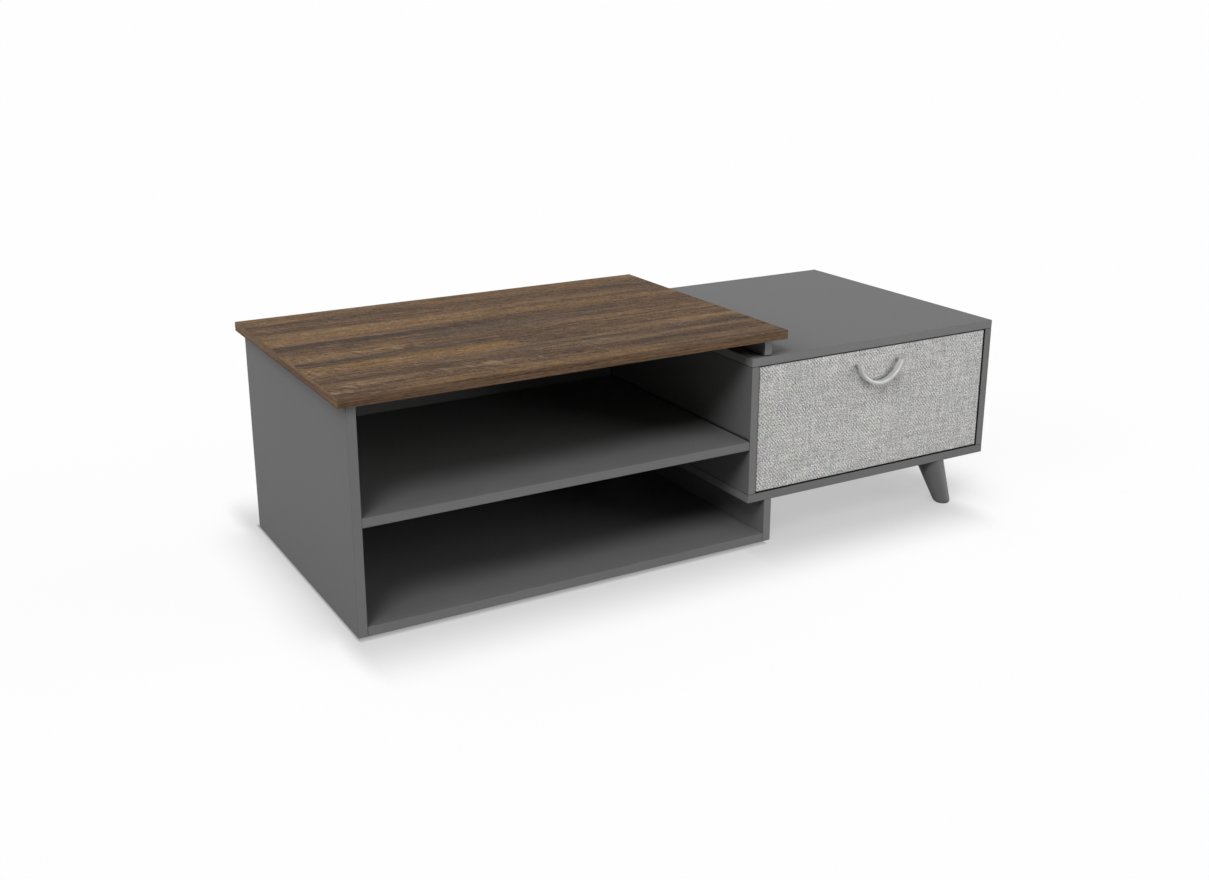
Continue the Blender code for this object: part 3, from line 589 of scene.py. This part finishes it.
greyBoards = [
    "left_side_panel", "bottom_panel", "middle_shelf", "lower_right_panel", "upper_back_panel",
    "lower_back_panel", "spacer_panel", "box_top_panel", "box_bottom_panel", "box_left_panel",
    "box_right_panel", "box_back_panel",
]
roundDrawer = ("box_top_panel", "box_bottom_panel", "box_left_panel", "box_right_panel")
for boardName in greyBoards:
    dress([boardName], greyFinish(boardName, boardName in roundDrawer))
print("grey boards finished:", len(greyBoards))


# Linen-look facing: a slubby twill glued over the drawer's front board

linenFacing = {
    "warpPitch": 0.00190,
    "weftPitch": 0.00215,
    "drift": 0.8,
    "driftCells": 16.0,
    "crownPower": 2.4,
    "archLevel": 0.55,
    "paleYarn": (250, 249, 246),
    "darkYarn": (216, 215, 214),
    "paleFrom": 0.9,
    "middleTone": 0.55,
    "slubCellsAlong": 34.0,
    "slubSeeds": (3.1, 9.7),
    "slubDepth": 0.55,
    "ownTone": 0.45,
    "ownToneSeeds": (2.0, 5.0),
    "fibreCells": 420.0,
    "fibreDepth": 0.20,
    "blotchCells": 14.0,
    "blotchRange": (0.38, 0.62),
    "lilac": (214, 206, 216),
    "moss": (206, 214, 203),
    "tintShare": 0.25,
    "twillDepth": 0.36,
    "twillFade": 0.80,
    "fadeCells": 13.0,
    "fadeRange": (0.35, 0.65),
    "fadeToRight": 0.11,
    "gapShade": 0.74,
    "gapHeight": 0.8,
    "knotCells": 390.0,
    "knotDepth": 0.66,
    "streakCellsAlong": 24.0,
    "streakSeeds": (21.3, 34.6),
    "streakDepth": 0.11,
    "patchCells": 75.0,
    "patchDepth": 0.10,
    "nearReach": 0.0095,
    "nearSamples": 12,
    "nearOpen": (0.55, 0.98),
    "nearShade": 0.74,
    "clearEdge": 0.010,
    "yarnHeight": 0.0006,
    "yarnStrength": 0.8,
    "fibreHeightShare": 0.15,
    "roughness": 0.92,
    "edgeRound": 0.0006,
    "edgeSteps": 3,
    "cell": 0.012,
    "tension": 0.00012,
    "tensionWave": 0.045,
}


def linenFinish():
    look = linenFacing
    linen = Finish(
        "linenTwill", look["roughness"],
        Specular_IOR_Level=0.1, Sheen_Weight=0.12, Sheen_Roughness=0.5,
    )
    x, y, z = linen.apart(linen.place())

    def turned(cells, *order):
        # the same kind of noise with the axes in another order, so that it differs
        return linen.noise(linen.stretched(linen.together(*order), (cells, cells, cells)))

    # the yarns drift a little from their straight lines
    column = linen.calc("DIVIDE", x, look["warpPitch"])
    row = linen.calc("DIVIDE", z, look["weftPitch"])
    column = linen.swing(linen.speckle(look["driftCells"]), look["drift"], column)
    row = linen.swing(turned(look["driftCells"], z, x, y), look["drift"], row)
    warp = linen.calc("FLOOR", column)
    weft = linen.calc("FLOOR", row)
    inWarp = linen.calc("FRACT", column)
    inWeft = linen.calc("FRACT", row)
    # two yarns over, two under, a step to the side in each row: the diagonals of a twill
    turn = linen.calc("FLOORED_MODULO", linen.calc("ADD", warp, weft), 4.0)
    warpOver = linen.calc("LESS_THAN", turn, 1.5)

    def crown(within):
        offCentre = linen.calc("ABSOLUTE", linen.calc("MULTIPLY_ADD", within, 2.0, -1.0))
        return linen.calc("SUBTRACT", 1.0, linen.calc("POWER", offCentre, look["crownPower"]))

    def arch(stepsIn, within):
        along = linen.calc("MULTIPLY", linen.calc("ADD", stepsIn, within), math.pi / 2)
        level = look["archLevel"]
        return linen.calc("MULTIPLY_ADD", linen.calc("SINE", along), 1.0 - level, level)

    warpHeight = linen.calc("MULTIPLY", crown(inWarp), arch(turn, inWeft))
    weftTurn = linen.calc("SUBTRACT", turn, 2.0)
    weftHeight = linen.calc("MULTIPLY", crown(inWeft), arch(weftTurn, inWarp))
    height = linen.choose(warpOver, warpHeight, weftHeight)

    def alongYarns(warpNumber, weftNumber, cells, seeds, *texture):
        # noise along each yarn upright, and along each yarn across, with its own run for each yarn
        upright = linen.together(warpNumber, linen.calc("MULTIPLY", z, cells), seeds[0])
        level = linen.together(linen.calc("MULTIPLY", x, cells), weftNumber, seeds[1])
        return linen.noise(upright, *texture), linen.noise(level, *texture)

    # slubs: each yarn swells and pales along its own length
    slubs = alongYarns(warp, weft, look["slubCellsAlong"], look["slubSeeds"], 2.0, 0.6)
    ownTones = [linen.perCell(yarn, seed) for yarn, seed in zip((warp, weft), look["ownToneSeeds"])]
    ownTone = linen.centred(linen.choose(warpOver, *ownTones))
    fibre = linen.speckle(look["fibreCells"], 1.0)
    tone = linen.swing(linen.choose(warpOver, *slubs), look["slubDepth"], look["middleTone"])
    tone = linen.calc("MULTIPLY_ADD", ownTone, look["ownTone"], tone)
    tone = linen.swing(fibre, look["fibreDepth"], tone)
    yarnTones = [(0.0, seen(*look["darkYarn"])), (look["paleFrom"], seen(*look["paleYarn"]))]
    blotch = linen.speckle(look["blotchCells"], 3.0, 0.6)
    tintTones = zip(look["blotchRange"], (seen(*look["lilac"]), seen(*look["moss"])))
    yarn = linen.mix(look["tintShare"], linen.ramp(tone, yarnTones), linen.ramp(blotch, tintTones))

    # the diagonals come and go in patches, over a fine pale mottle
    low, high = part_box("drawer_linen_facing")
    toRight = linen.spread(x, low.x, high.x, -look["fadeToRight"], look["fadeToRight"])
    fade = linen.calc("SUBTRACT", turned(look["fadeCells"], y, z, x), toRight)
    fade = linen.spread(fade, *look["fadeRange"], 1.0 - look["twillFade"], 1.0, "SMOOTHSTEP")
    raised = linen.calc("MULTIPLY", linen.centred(warpOver), fade)
    depth = linen.calc("MULTIPLY_ADD", raised, look["twillDepth"], 1.0)
    # painted shade: the hollows between the yarns are darker than their crowns
    lit = linen.spread(height, 0.0, look["gapHeight"], look["gapShade"], 1.0)
    depth = linen.calc("MULTIPLY", depth, lit)
    depth = linen.swing(linen.speckle(look["knotCells"], 1.0), look["knotDepth"], depth)
    # thicker slubs, two yarns wide, show as short pale and dark lines both ways
    pairs = [linen.calc("FLOOR", linen.calc("MULTIPLY", count, 0.5)) for count in (column, row)]
    lines = alongYarns(*pairs, look["streakCellsAlong"], look["streakSeeds"], 1.0)
    lines = linen.calc("SUBTRACT", linen.calc("ADD", *lines), 1.0)
    depth = linen.calc("MULTIPLY_ADD", lines, noiseSwing * look["streakDepth"], depth)
    mottle = linen.swing(turned(look["patchCells"], z, y, x), look["patchDepth"], 1.0)
    depth = linen.calc("MULTIPLY", depth, mottle)

    # painted shade: the cloth darkens close to the handle; the gap round the front doesn't
    near = linen.openness(look["nearReach"], look["nearSamples"])
    shaded = linen.spread(near, *look["nearOpen"], look["nearShade"], 0.0)
    inX = linen.calc("MINIMUM", linen.calc("SUBTRACT", x, low.x), linen.calc("SUBTRACT", high.x, x))
    inZ = linen.calc("MINIMUM", linen.calc("SUBTRACT", z, low.z), linen.calc("SUBTRACT", high.z, z))
    inside = linen.calc("MINIMUM", inX, inZ)
    inside = linen.spread(inside, look["clearEdge"], 2 * look["clearEdge"])
    covered = linen.calc("MULTIPLY", shaded, inside)
    depth = linen.calc("MULTIPLY", depth, linen.calc("SUBTRACT", 1.0, covered))
    linen.drive("Base Color", linen.shaded(yarn, depth))
    surface = linen.calc("MULTIPLY_ADD", fibre, look["fibreHeightShare"], height)
    linen.relief(surface, look["yarnHeight"], look["yarnStrength"])
    return linen.material


def cutEvery(mesh, axis, low, high, cell):
    count = max(1, round((high - low) / cell))
    normal = [0.0, 0.0, 0.0]
    normal[axis] = 1.0
    for step in range(1, count):
        point = [0.0, 0.0, 0.0]
        point[axis] = low + (high - low) * step / count
        everything = mesh.verts[:] + mesh.edges[:] + mesh.faces[:]
        bmesh.ops.bisect_plane(mesh, geom=everything, plane_co=point, plane_no=normal)


def makeLinenFacing():
    shape = linenFacing
    low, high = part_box("drawer_linen_facing")
    mesh = bmesh.new()
    size = high - low
    place = Matrix.Translation((low + high) / 2) @ Matrix.Diagonal((*size, 1))
    bmesh.ops.create_cube(mesh, size=1, matrix=place)
    nearFront = low.y + size.y / 10
    front = [edge for edge in mesh.edges if all(vert.co.y < nearFront for vert in edge.verts)]
    bmesh.ops.bevel(
        mesh, geom=front, offset=shape["edgeRound"], segments=shape["edgeSteps"],
        profile=0.5, affect="EDGES",
    )
    cutEvery(mesh, 0, low.x, high.x, shape["cell"])
    cutEvery(mesh, 2, low.z, high.z, shape["cell"])
    wave = 2 * math.pi / shape["tensionWave"]
    for vert in mesh.verts:
        if vert.co.y < nearFront:
            across = vert.co.x * wave
            up = vert.co.z * wave
            ripple = math.sin(across + 2 * math.sin(up / 3)) * math.cos(up / 2)
            vert.co.y += shape["tension"] * (1 + ripple) / 2
    data = finishMesh("linenFacing", mesh)
    facing = addPiece(
        "linenFacing", data, linenFinish(), "drawer", ["drawer_linen_facing"],
    )


makeLinenFacing()
print("linen facing stretched on the drawer front")


# Bow handle: a crescent strap with a rounded front, held off the linen by a round spacer at each end

bowHandle = {
    "colour": (216, 217, 217),
    "metallic": 0.12,
    "coat": 1.0,
    "softening": 0.65,
    "softReach": 0.006,
    "cloudCells": 60.0,
    "cloudShade": (0.96, 1.03),
    "tilt": 0.7,
    "paintedTiltShade": (1.10, 0.85),
    "peelCells": 650.0,
    "peelDepth": 0.00003,
    "peelStrength": 0.5,
    "roughness": (0.33, 0.43),
    "bowRadius": 0.0582,
    "endDegrees": 15.0,
    "thick": 0.0090,
    "endThick": 0.0048,
    "depth": 0.0125,
    "frontRoundShare": 0.40,
    "backRoundShare": 0.14,
    "cornerSteps": 8,
    "bowSteps": 96,
    "endRoundShare": 0.45,
    "endRoundSteps": 6,
}
handleSpacers = {
    "colour": (150, 150, 150),
    "turningCells": (300.0, 2600.0, 300.0),
    "turningShade": (0.9, 1.08),
    "turningDepth": 0.00003,
    "turningStrength": 0.5,
    "roughness": (0.42, 0.56),
    "fromEndDegrees": 3.4,
    "radius": 0.0022,
    "sides": 32,
}


def handleFinish():
    look = bowHandle
    # thick pale lacquer under a clear coat, with a thin bright line where the strap turns away
    satin = Finish(
        "handleSatin", metallic=look["metallic"], Specular_IOR_Level=0.42,
        Subsurface_Weight=look["softening"], Subsurface_Scale=look["softReach"],
        Subsurface_Radius=(1.0, 1.0, 1.0), Coat_Weight=look["coat"], Coat_Roughness=0.10,
    )
    # painted light and shade: sides that look up are a little darker than those that look down
    tilt = look["tilt"]
    shade = satin.spread(satin.facing()[2], -tilt, tilt, *look["paintedTiltShade"])
    cloud = satin.vary(satin.speckle(look["cloudCells"]), *look["cloudShade"])
    shade = satin.calc("MULTIPLY", cloud, shade)
    satin.drive("Base Color", satin.shaded(seen(*look["colour"]), shade))
    peel = satin.speckle(look["peelCells"])
    satin.roughen(peel, *look["roughness"])
    satin.relief(peel, look["peelDepth"], look["peelStrength"])
    return satin.material


def spacerFinish():
    look = handleSpacers
    spacer = Finish("handleSpacer", Specular_IOR_Level=0.3)
    turning = spacer.noise(spacer.stretched(spacer.place(), look["turningCells"]))
    shade = spacer.vary(turning, *look["turningShade"])
    spacer.drive("Base Color", spacer.shaded(seen(*look["colour"]), shade))
    spacer.roughen(turning, *look["roughness"])
    spacer.relief(turning, look["turningDepth"], look["turningStrength"])
    return spacer.material


def strapSection(thick, depth, drawnIn, shape):
    # across the strap (out from the bow's centre) and front to back, with round corners
    side = (thick - drawnIn) / 2
    front = 2 * side * shape["frontRoundShare"]
    back = 2 * side * shape["backRoundShare"]
    reach = (depth - drawnIn) / 2
    corners = (
        (side, -reach, front, -90.0, (-1, 1)),
        (side, reach, back, 0.0, (-1, -1)),
        (-side, reach, back, 90.0, (1, -1)),
        (-side, -reach, front, 180.0, (1, 1)),
    )
    points = []
    for out, deep, radius, start, (toOut, toDeep) in corners:
        centre = (out + toOut * radius, deep + toDeep * radius)
        for step in range(shape["cornerSteps"] + 1):
            angle = math.radians(start + 90.0 * step / shape["cornerSteps"])
            points.append((centre[0] + radius * math.cos(angle), centre[1] + radius * math.sin(angle)))
    return points


def bowCentre(low, high):
    # the middle of the circle that the bow follows, halfway through the strap's depth
    shape = bowHandle
    centreZ = low.z + shape["bowRadius"] + shape["thick"] / 2
    return (low.x + high.x) / 2, low.y + shape["depth"] / 2, centreZ


def makeBow(low, high):
    shape = bowHandle
    centreX, centreY, centreZ = bowCentre(low, high)
    start = 180.0 + shape["endDegrees"]
    sweep = 180.0 - 2 * shape["endDegrees"]
    endReach = math.degrees(shape["endThick"] * shape["endRoundShare"] / shape["bowRadius"])
    stations = []
    for step in range(shape["bowSteps"] + 1):
        stations.append((start + endReach + (sweep - 2 * endReach) * step / shape["bowSteps"], 0.0))
    for step in range(1, shape["endRoundSteps"] + 1):
        turn = math.radians(90.0 * step / shape["endRoundSteps"])
        reach = endReach * math.sin(turn)
        drawnIn = 2 * shape["endThick"] * shape["endRoundShare"] * (1.0 - math.cos(turn))
        stations.insert(0, (start + endReach - reach, drawnIn))
        stations.append((start + sweep - endReach + reach, drawnIn))
    mesh = bmesh.new()
    rings = []
    for angle, drawnIn in stations:
        share = min(max((angle - start) / sweep, 0.0), 1.0)
        thick = shape["endThick"] + (shape["thick"] - shape["endThick"]) * math.sin(math.pi * share)
        turn = math.radians(angle)
        ring = []
        for out, deep in strapSection(thick, shape["depth"], drawnIn, shape):
            radius = shape["bowRadius"] + out
            ring.append(mesh.verts.new((
                centreX + radius * math.cos(turn), centreY + deep, centreZ + radius * math.sin(turn),
            )))
        rings.append(ring)
    joinRings(mesh, rings, False)
    mesh.faces.new(rings[0])
    mesh.faces.new(list(reversed(rings[-1])))
    data = finishMesh("handleBow", mesh, 50.0)
    addPiece("handleBow", data, handleFinish(), "drawer", ["drawer_handle"])


def makeSpacers(low, high):
    shape = bowHandle
    own = handleSpacers
    finish = spacerFinish()
    centreX, _, centreZ = bowCentre(low, high)
    turn = math.radians(shape["endDegrees"] + own["fromEndDegrees"])
    outward = shape["bowRadius"] * math.cos(turn)
    level = centreZ - shape["bowRadius"] * math.sin(turn)
    start = low.y + shape["depth"] - shape["endThick"] / 2
    for side, label in ((-1, "handleLeftSpacer"), (1, "handleRightSpacer")):
        spacer = bmesh.new()
        rings = []
        for along in (start, high.y):
            ring = []
            for step in range(own["sides"]):
                around = 2 * math.pi * step / own["sides"]
                x = centreX + side * outward + own["radius"] * math.cos(around)
                z = level + own["radius"] * math.sin(around)
                ring.append(spacer.verts.new((x, along, z)))
            rings.append(ring)
        joinRings(spacer, rings, False)
        spacer.faces.new(rings[0])
        spacer.faces.new(list(reversed(rings[-1])))
        addPiece(label, finishMesh(label, spacer), finish, "drawer")


handleLow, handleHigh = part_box("drawer_handle")
makeBow(handleLow, handleHigh)
makeSpacers(handleLow, handleHigh)
print("handle made")


# Splayed legs: round, tapered, with a rounded foot

splayedLeg = {
    "topRadius": 0.032,
    "footRadius": 0.018,
    "footRound": 0.007,
    "footRoundSteps": 8,
    "leanOut": 0.0485,
    "leanSide": 0.003,
    "sides": 72,
    "levels": 14,
    "colour": (100, 100, 100),
    "brushCells": (420.0, 420.0, 26.0),
    "brushShade": 0.04,
    "brushDepth": 0.00005,
    "brushStrength": 0.5,
    "cloudCells": 30.0,
    "cloudShade": 0.03,
    "roughness": (0.37, 0.49),
}


def legFinish():
    look = splayedLeg
    paint = Finish("legPaint", Specular_IOR_Level=0.2)
    brush = paint.noise(paint.stretched(paint.place(), look["brushCells"]), 3.0, 0.6)
    cloud = paint.mottle(paint.speckle(look["cloudCells"]), look["cloudShade"])
    shade = paint.calc("MULTIPLY", paint.mottle(brush, look["brushShade"]), cloud)
    paint.drive("Base Color", paint.shaded(seen(*look["colour"]), shade))
    paint.roughen(brush, *look["roughness"])
    paint.relief(brush, look["brushDepth"], look["brushStrength"])
    return paint.material


def makeLeg(nodeName, label, way, paint):
    shape = splayedLeg
    low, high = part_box(nodeName)
    topX = low.x + shape["topRadius"]
    topY = high.y - shape["topRadius"] if way < 0 else low.y + shape["topRadius"]
    height = high.z
    levels = []
    for step in range(shape["footRoundSteps"] + 1):
        turn = math.radians(90.0 * step / shape["footRoundSteps"])
        level = shape["footRound"] * (1 - math.cos(turn))
        levels.append((level, shape["footRound"] * (1 - math.sin(turn))))
    for step in range(1, shape["levels"] + 1):
        level = shape["footRound"] + (height - shape["footRound"]) * step / shape["levels"]
        levels.append((level, 0.0))
    mesh = bmesh.new()
    rings = []
    for level, drawnIn in levels:
        share = level / height
        wider = (shape["topRadius"] - shape["footRadius"]) * share
        radius = shape["footRadius"] + wider - drawnIn
        centreX = topX + shape["leanSide"] * (1 - share)
        centreY = topY + way * shape["leanOut"] * (1 - share)
        ring = []
        for step in range(shape["sides"]):
            turn = 2 * math.pi * step / shape["sides"]
            ring.append(mesh.verts.new((
                centreX + radius * math.cos(turn), centreY + radius * math.sin(turn), low.z + level,
            )))
        rings.append(ring)
    joinRings(mesh, rings, False)
    mesh.faces.new(list(reversed(rings[0])))
    mesh.faces.new(rings[-1])
    addPiece(label, finishMesh(label, mesh), paint, "table", [nodeName])


legPaint = legFinish()
makeLeg("front_leg", "frontLeg", -1, legPaint)
makeLeg("rear_leg", "rearLeg", 1, legPaint)
print("legs made")


# Drawer inside: pale boards and a thin faced sheet

paleLook = {
    "board": (178, 178, 176),
    "boardCells": 900.0,
    "boardShade": 0.03,
    "gapShadeEdge": (58, 58, 58),
    "sheet": (188, 184, 178),
    "sheetCells": 420.0,
    "sheetShade": 0.05,
    "cloudCells": 9.0,
    "cloudShade": 0.03,
    "grainDepth": 0.00003,
    "grainStrength": 0.5,
    "roughness": (0.45, 0.55),
}


def paleFinish(name, kind, gapShadeColour=None):
    look = paleLook
    pale = Finish(name, Specular_IOR_Level=0.4)
    fine = pale.speckle(look[kind + "Cells"])
    cloud = pale.mottle(pale.speckle(look["cloudCells"], 3.0, 0.6), look["cloudShade"])
    shade = pale.calc("MULTIPLY", pale.mottle(fine, look[kind + "Shade"]), cloud)
    tone = seen(*look[kind])
    if gapShadeColour:
        # painted shade: the edges are painted dark, so that the gap round the front stays dark
        onEdge = pale.calc("LESS_THAN", pale.calc("ABSOLUTE", pale.facing()[1]), 0.5)
        tone = pale.mix(onEdge, tone, seen(*gapShadeColour))
    pale.drive("Base Color", pale.shaded(tone, shade))
    pale.roughen(fine, *look["roughness"])
    pale.relief(fine, look["grainDepth"], look["grainStrength"])
    return pale.material


dress(["drawer_front_board"], paleFinish("frontBoard", "board", paleLook["gapShadeEdge"]))
dress(["drawer_left_side", "drawer_right_side", "drawer_back"], paleFinish("paleBoard", "board"))
dress(["drawer_bottom"], paleFinish("paleSheet", "sheet"))
print("drawer boards finished")


# Metal fittings: zinc-plated slides, screws and bolts, and grey cast cams

zincLook = {
    "colour": (196, 199, 203),
    "rolledCells": (900.0, 14.0, 900.0),
    "rolledShade": (0.93, 1.05),
    "rolledDepth": 0.00003,
    "rolledStrength": 0.4,
    "bloomCells": 55.0,
    "bloomShade": (0.92, 1.04),
    "roughness": (0.26, 0.42),
}
castingLook = {
    "colour": (168, 169, 172),
    "gritCells": 1300.0,
    "gritShade": (0.86, 1.06),
    "gritDepth": 0.00006,
    "gritStrength": 0.7,
    "roughness": (0.4, 0.6),
}


def zincFinish():
    look = zincLook
    zinc = Finish("zincPlate", metallic=1.0)
    rolled = zinc.noise(zinc.stretched(zinc.place(), look["rolledCells"]), 3.0, 0.6)
    bloom = zinc.speckle(look["bloomCells"], 3.0, 0.6)
    bloomed = zinc.vary(bloom, *look["bloomShade"])
    shade = zinc.calc("MULTIPLY", zinc.vary(rolled, *look["rolledShade"]), bloomed)
    zinc.drive("Base Color", zinc.shaded(seen(*look["colour"]), shade))
    zinc.roughen(bloom, *look["roughness"])
    zinc.relief(rolled, look["rolledDepth"], look["rolledStrength"])
    return zinc.material


def castingFinish():
    look = castingLook
    casting = Finish("zincCasting", metallic=1.0)
    grit = casting.speckle(look["gritCells"], 3.0, 0.6)
    shade = casting.vary(grit, *look["gritShade"])
    casting.drive("Base Color", casting.shaded(seen(*look["colour"]), shade))
    casting.roughen(grit, *look["roughness"])
    casting.relief(grit, look["gritDepth"], look["gritStrength"])
    return casting.material


zincPlate = zincFinish()
zincCasting = castingFinish()
for name in sorted(nodes):
    if name.endswith(("_screw", "_bolt", "_member", "_cage")):
        dress([name], zincPlate)
    if name.endswith("_cam"):
        dress([name], zincCasting)
print("fittings finished")


# Studio: a white floor that keeps the table's shadow, partly cast by the lamps and partly painted, and
# plain soft light

studioSetup = {
    "floorReach": 30.0,
    "backdropWhite": 0.991,
    "floorBounce": 0.35,
    "castShadowShare": 0.12,
    # painted contact shadow: how far it reaches, how dark it gets and how it fades
    "contactReach": 0.14,
    "contactSamples": 16,
    "contactDepth": 0.46,
    "contactFull": 0.60,
    "contactCurve": 1.25,
    "skyLevel": 0.10,
    # each painted soft shadow spans the ground from one board to another, less an inset at its right;
    # then how deep it is, and how far it fades out to the sides and to the front and back
    "paintedShadows": (
        ("left_side_panel", "bottom_panel", 0.0, 0.37, (0.060, 0.220)),
        ("left_side_panel", "bottom_panel", 0.0, 0.72, (0.010, 0.036)),
        ("box_left_panel", "box_right_panel", 0.148, 0.42, (0.105, 0.215)),
    ),
    # name, the way the light comes from, its level and how many degrees of the sky it fills
    "lamps": (
        ("leftLamp", (-1.0, 0.0, 0.577), 1.08, 40.0),
        ("frontLeftLamp", (-0.707, -0.707, 1.192), 1.22, 24.0),
        ("frontRightLamp", (0.707, -0.707, 0.213), 0.98, 40.0),
        ("rightLamp", (1.0, 0.0, 0.213), 1.10, 40.0),
        ("backLamp", (0.0, 1.0, 1.192), 0.50, 40.0),
    ),
}


def backdropRays(tree):
    # 1 for what is seen directly, mirrored or through glass, 0 for the light that falls on the table
    rays = tree.nodes.new("ShaderNodeLightPath")
    shown = rays.outputs["Is Camera Ray"]
    for kind in ("Is Glossy Ray", "Is Transmission Ray"):
        either = tree.nodes.new("ShaderNodeMath")
        either.operation = "MAXIMUM"
        tree.links.new(shown, either.inputs[0])
        tree.links.new(rays.outputs[kind], either.inputs[1])
        shown = either.outputs[0]
    return shown


def paintedShadow(paper, fromNode, toNode, rightInset, depth, reach):
    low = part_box(fromNode)[0]
    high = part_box(toNode)[1]
    high = Vector((high.x - rightInset, max(high.y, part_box(fromNode)[1].y), high.z))
    x, y, _ = paper.apart(paper.place())
    outX = paper.calc("MAXIMUM", paper.calc("SUBTRACT", low.x, x), paper.calc("SUBTRACT", x, high.x))
    outY = paper.calc("MAXIMUM", paper.calc("SUBTRACT", low.y, y), paper.calc("SUBTRACT", y, high.y))
    outX = paper.calc("DIVIDE", paper.calc("MAXIMUM", outX, 0.0), reach[0])
    outY = paper.calc("DIVIDE", paper.calc("MAXIMUM", outY, 0.0), reach[1])
    away = paper.calc("SQRT", paper.calc("MULTIPLY_ADD", outX, outX, paper.calc("MULTIPLY", outY, outY)))
    return paper.spread(away, 0.0, 1.0, depth, 0.0, "SMOOTHSTEP")


def makeFloor():
    setup = studioSetup
    reach = setup["floorReach"]
    mesh = bmesh.new()
    bmesh.ops.create_grid(mesh, x_segments=1, y_segments=1, size=reach)
    data = finishMesh("studioFloor", mesh)
    floor = bpy.data.objects.new("studioFloor", data)
    scene.collection.objects.link(floor)
    paper = Finish("floorPaper", 1.0, Specular_IOR_Level=0.0)
    shown = backdropRays(paper.tree)
    # the part that the lamps light keeps the cast shadow; the rest carries painted shadow, darkening
    # only close to the table
    lit = setup["castShadowShare"]
    bounce = setup["floorBounce"]
    paper.drive("Base Color", paper.mix(shown, (bounce, bounce, bounce, 1.0), (lit, lit, lit, 1.0)))
    near = paper.openness(setup["contactReach"], setup["contactSamples"])
    covered = paper.spread(near, 1.0, 1.0 - setup["contactFull"])
    covered = paper.calc("POWER", covered, setup["contactCurve"])
    covered = paper.calc("MULTIPLY", covered, setup["contactDepth"])
    for shadow in setup["paintedShadows"]:
        covered = paper.calc("MAXIMUM", covered, paintedShadow(paper, *shadow))
    clear = paper.calc("SUBTRACT", 1.0, covered)
    unshaded = setup["skyLevel"]
    for _, comesFrom, level, _ in setup["lamps"]:
        unshaded += level * Vector(comesFrom).normalized().z / math.pi
    glow = paper.calc("MULTIPLY", clear, setup["backdropWhite"] - lit * unshaded)
    paper.drive("Emission Strength", paper.calc("MULTIPLY", glow, shown))
    paper.shader.inputs["Emission Color"].default_value = (1.0, 1.0, 1.0, 1.0)
    data.materials.append(paper.material)


def makeSky():
    # seen by the backdrop rays the sky is white; as light it only fills the shadows
    setup = studioSetup
    world = bpy.data.worlds.new("studioSky")
    scene.world = world
    world.use_nodes = True
    tree = world.node_tree
    tree.nodes.clear()
    strength = tree.nodes.new("ShaderNodeMapRange")
    strength.inputs["To Min"].default_value = setup["skyLevel"]
    strength.inputs["To Max"].default_value = setup["backdropWhite"]
    tree.links.new(backdropRays(tree), strength.inputs["Value"])
    glow = tree.nodes.new("ShaderNodeBackground")
    glow.inputs["Color"].default_value = (1.0, 1.0, 1.0, 1.0)
    tree.links.new(strength.outputs[0], glow.inputs["Strength"])
    output = tree.nodes.new("ShaderNodeOutputWorld")
    tree.links.new(glow.outputs[0], output.inputs["Surface"])


def addLamp(name, comesFrom, level, spreadDegrees):
    lamp = bpy.data.lights.new(name, "SUN")
    lamp.energy = level
    lamp.angle = math.radians(spreadDegrees)
    sun = bpy.data.objects.new(name, lamp)
    sun.rotation_mode = "QUATERNION"
    sun.rotation_quaternion = Vector(comesFrom).to_track_quat("Z", "Y")
    scene.collection.objects.link(sun)


makeFloor()
makeSky()
for lampSetup in studioSetup["lamps"]:
    addLamp(*lampSetup)
scene.view_settings.view_transform = "Standard"
print("studio lit")
